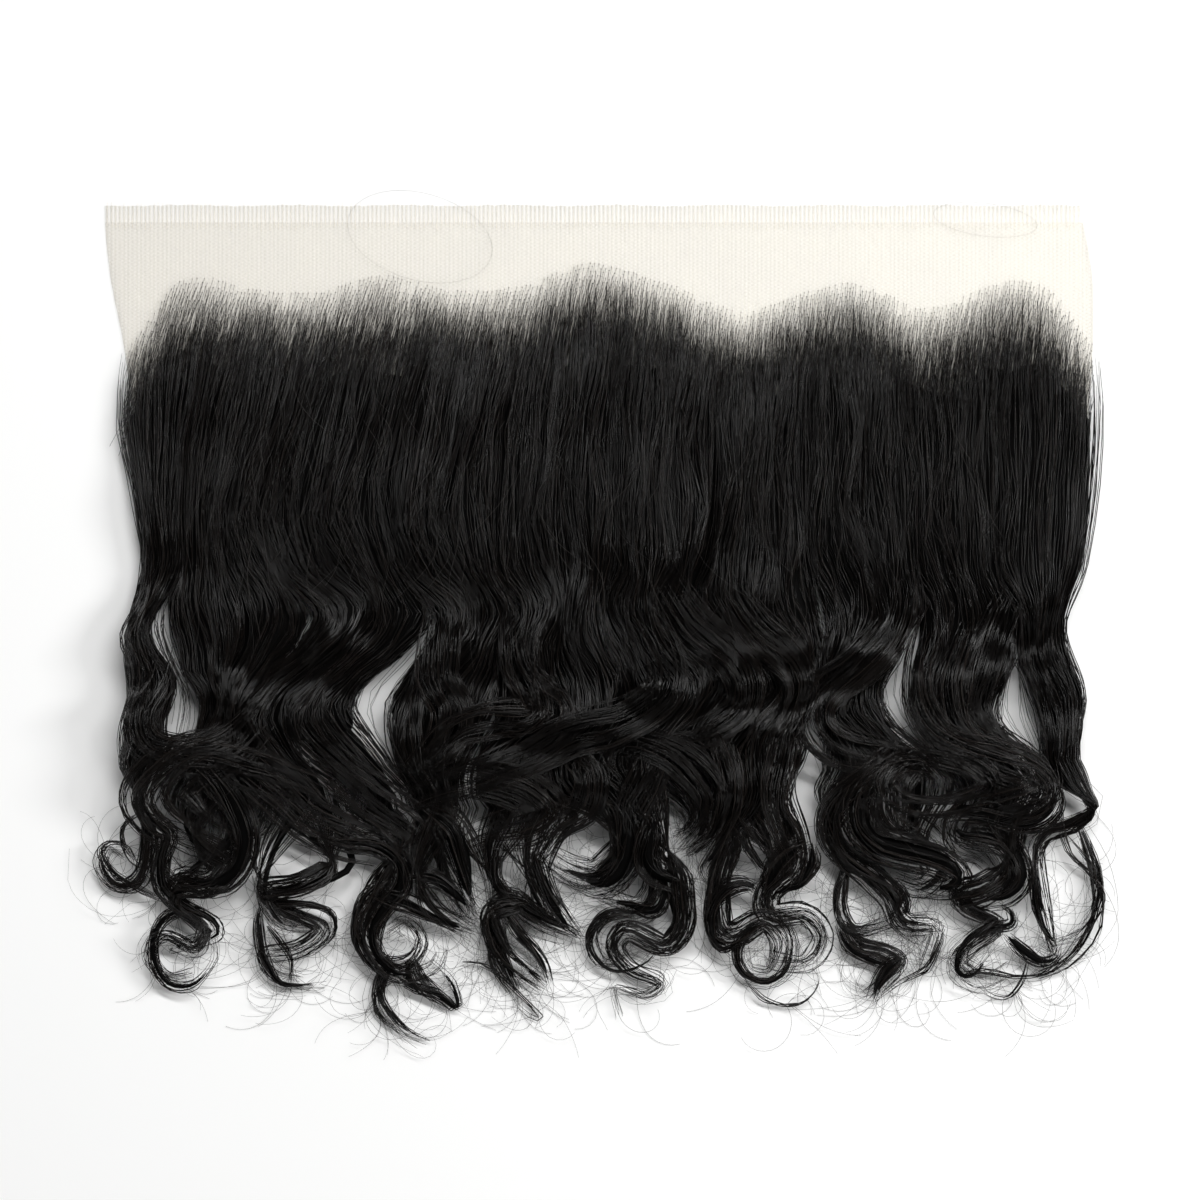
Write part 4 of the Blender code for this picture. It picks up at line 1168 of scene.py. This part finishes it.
def strayLoops():
    batch = StrandBatch()
    count = strayLook["points"]
    for centreX, centreY, halfX, halfY, tilt in strayLook["loops"]:
        turn = np.linspace(-0.3, 2 * np.pi + 0.2, count)
        grow = 1 + 0.04 * np.sin(2 * turn + 1)
        px = centreX + halfX * np.cos(turn) * grow
        py = centreY + halfY * np.sin(turn) * grow + tilt * (px - centreX)
        x = (px - photo["middleX"]) * photo["metresPerPixel"]
        y = (photo["hairlineY"] - py) * photo["metresPerPixel"]
        z = frontal["laceTop"] + 0.0004 + 0.0003 * np.sin(3 * turn)
        radii = np.full((1, count), strayLook["radius"])
        batch.add(np.stack([x, y, z], -1)[None], radii, np.array([0.8]))
    batch.make("stray_loops", fineHair)


strayLoops()
print("stray loops done")


laceLook = {
    "seed": 31,
    "thickness": 0.00025,
    "height": 0.0003,
    "cellPitch": 0.0011,        # of the net's pattern, in metres
    "ribPitch": 0.00145,
    "ribRadius": 0.00005,
    "ribRings": 6,
    "stripDepth": 0.0062,       # of the ribbed front strip
    "columns": 120,
    "rows": 24,
    "fray": 0.0004,
    "down": [-0.105, -0.050, 0.000, 0.080, 0.200, 0.397],
    "left": [-1.040, -1.035, -1.025, -1.000, -0.975, -0.930],
    "right": [0.965, 0.980, 0.990, 0.990, 0.975, 0.930],
    # The dark net colour is the low end of both the net's own blotches and a painted shade towards
    # the left
    "netDarkAndShade": (0.65, 0.60, 0.50, 1),
    "netLight": (0.87, 0.82, 0.70, 1),
    "thread": (0.86, 0.80, 0.70),
}


def laceFinish():
    finish, tree, shader = newMaterial("laceNet")
    where = addNode(tree, "ShaderNodeTexCoord", {}, {}, 3)
    x = addNode(tree, "ShaderNodeSeparateXYZ", {}, {0: where})
    y = Wire(tree, x.socket.node.outputs[1])

    def wave(along):
        return along.math("SINE", along)

    turn = 2 * math.pi / laceLook["cellPitch"]
    slant = 0.5 * math.sqrt(3)
    net = (wave(x * turn) + wave(x * (-0.5 * turn) + y * (slant * turn))      # crossed into cells
           + wave(x * (-0.5 * turn) - y * (slant * turn))) * 0.2 + 0.5
    rib = wave(x * (2 * math.pi / laceLook["ribPitch"])) * 0.5 + 0.5
    front = y > frontal["laceFront"] - laceLook["stripDepth"]
    cover = front * (rib * 0.14 + 0.06) + (1.0 - front) * (net * 0.06 + rib * 0.07 + 0.13)
    cloud = blotches(tree, 60.0, 4.0)
    # The colour mix also runs with x, so the net is darker towards the left: painted shade, added
    # to its own blotches
    setSockets(tree, shader, {
        "Alpha": cover + (cloud - 0.5) * 0.06,
        "Base Color": mixColours(tree, cloud + x * 2.0, laceLook["netDarkAndShade"], laceLook["netLight"]),
        "Roughness": 0.85,
        "Specular IOR Level": 0.2})
    return finish


def threadFinish():
    finish, tree, shader = newMaterial("laceThread")
    dark = tuple(0.93 * part for part in laceLook["thread"]) + (1,)
    setSockets(tree, shader, {
        "Base Color": mixColours(tree, blotches(tree, 25.0, 3.0), dark, (*laceLook["thread"], 1)),
        "Roughness": 0.8})
    return finish


def laceSheet():
    look = laceLook
    form = bmesh.new()
    bmesh.ops.create_grid(form, x_segments=look["columns"], y_segments=look["rows"], size=0.5)
    for vert in form.verts:
        u, v = vert.co.x + 0.5, 0.5 - vert.co.y      # v runs from the front edge to the back edge
        down = look["down"][0] + (look["down"][-1] - look["down"][0]) * v
        left = float(throughRows(look["down"], look["left"], down)) * frontal["halfWidth"]
        right = float(throughRows(look["down"], look["right"], down)) * frontal["halfWidth"]
        frayed = 1.2 + 0.5 * math.sin(57 * u) + 0.5 * math.sin(331 * u + 1)
        front = frontal["laceFront"] - look["fray"] * frayed
        back = -frontal["laceReach"]
        swell = 0.00012 * math.sin(9 * u + 4 * v) + 0.0001 * math.sin(23 * u - 11 * v)
        vert.co = (left + (right - left) * u, front + (back - front) * v, look["height"] + swell)
    piece = makePiece("lace_sheet", toMesh(form, "lace_sheet"), laceFinish())
    wall = piece.modifiers.new("wall", "SOLIDIFY")
    wall.thickness = look["thickness"]
    wall.offset = 1.0
    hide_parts("lace_panel")
    return piece


def laceRibs():      # the raised ribs of the front strip and the cut ends of its threads
    look = laceLook
    rng = np.random.default_rng(look["seed"])
    left = look["left"][0] * frontal["halfWidth"]
    right = look["right"][0] * frontal["halfWidth"]
    x = np.arange(left + 0.001, right - 0.001, look["ribPitch"])
    count, rings = len(x), look["ribRings"]
    t = np.linspace(0, 1, rings)[None, :]
    wobble = rng.normal(0, 0.00012, (count, rings))
    front = frontal["laceFront"] - 0.0004 + rng.uniform(0, 0.0014, (count, 1))
    y = front - t * rng.uniform(0.0075, 0.0090, (count, 1))
    proud = 0.00008 * np.abs(rng.normal(0, 1, (count, rings)))
    z = look["height"] + look["thickness"] + 0.00002 + proud
    batch = StrandBatch()
    paths = np.stack([x[:, None] + wobble, y, z], -1)
    batch.add(paths, look["ribRadius"] * np.ones((count, rings)), rng.uniform(0, 1, count))
    return batch.make("lace_ribs", threadFinish())


sheet = laceSheet()
ribs = laceRibs()
print("lace done")


studio = {
    "floorSize": 3.0,
    "floorDrop": 0.0002,        # just under the hair, in metres
    "floorColour": (0.93, 0.93, 0.925, 1),
    "skyLight": 0.09,
    "aim": (-0.0037, -0.1065, 0.0),
    # name, watts, width and depth in metres, place
    "lights": [
        ("frontStrip", 27.6, 1.5, 0.26, (0.40, 0.74, 1.68)),
        ("rearStrip", 1.2, 0.8, 0.20, (0.10, -0.80, 0.85)),
        ("rightStrip", 14.6, 0.25, 0.6, (1.30, 0.00, 0.98)),
        ("leftStrip", 3.2, 0.25, 0.6, (-1.20, -0.10, 1.10)),
    ],
    "cameraHeight": 1.8,
    "sensor": 36.0,             # width, in millimetres
}


def stageAndLight():
    form = bmesh.new()
    bmesh.ops.create_grid(form, x_segments=1, y_segments=1, size=studio["floorSize"])
    bmesh.ops.translate(form, verts=form.verts, vec=(0, 0, -studio["floorDrop"]))
    mesh = bpy.data.meshes.new("floor")
    form.to_mesh(mesh)
    form.free()
    finish, tree, shader = newMaterial("paleFloor")
    setSockets(tree, shader, {
        "Base Color": studio["floorColour"], "Roughness": 0.9, "Specular IOR Level": 0.1})
    mesh.materials.append(finish)
    floor = bpy.data.objects.new("floor", mesh)
    bpy.context.scene.collection.objects.link(floor)

    for name, energy, wide, deep, place in studio["lights"]:
        lamp = bpy.data.lights.new(name, "AREA")
        lamp.energy, lamp.shape, lamp.size, lamp.size_y = energy, "RECTANGLE", wide, deep
        light = bpy.data.objects.new(name, lamp)
        light.location = place
        aim = mathutils.Vector([to - at for to, at in zip(studio["aim"], place)])
        light.rotation_euler = aim.to_track_quat("-Z", "Y").to_euler()
        bpy.context.scene.collection.objects.link(light)
    world = bpy.data.worlds.new("studio")
    world.use_nodes = True
    setSockets(world.node_tree, world.node_tree.nodes["Background"], {
        "Color": (1, 1, 1, 1), "Strength": studio["skyLight"]})
    bpy.context.scene.world = world
    bpy.context.scene.view_settings.view_transform = "Standard"


def photoCamera():      # straight above, with the photograph's frame
    lens = bpy.data.cameras.new("camera")
    frameWidth = photo["size"] * photo["metresPerPixel"]
    lens.sensor_width = studio["sensor"]
    lens.lens = lens.sensor_width * studio["cameraHeight"] / frameWidth
    camera = bpy.data.objects.new("camera", lens)
    middle = photo["size"] / 2
    camera.location = ((middle - photo["middleX"]) * photo["metresPerPixel"],
                       (photo["hairlineY"] - middle) * photo["metresPerPixel"],
                       studio["cameraHeight"])
    bpy.context.scene.collection.objects.link(camera)
    bpy.context.scene.camera = camera


stageAndLight()
photoCamera()
print("stage done")
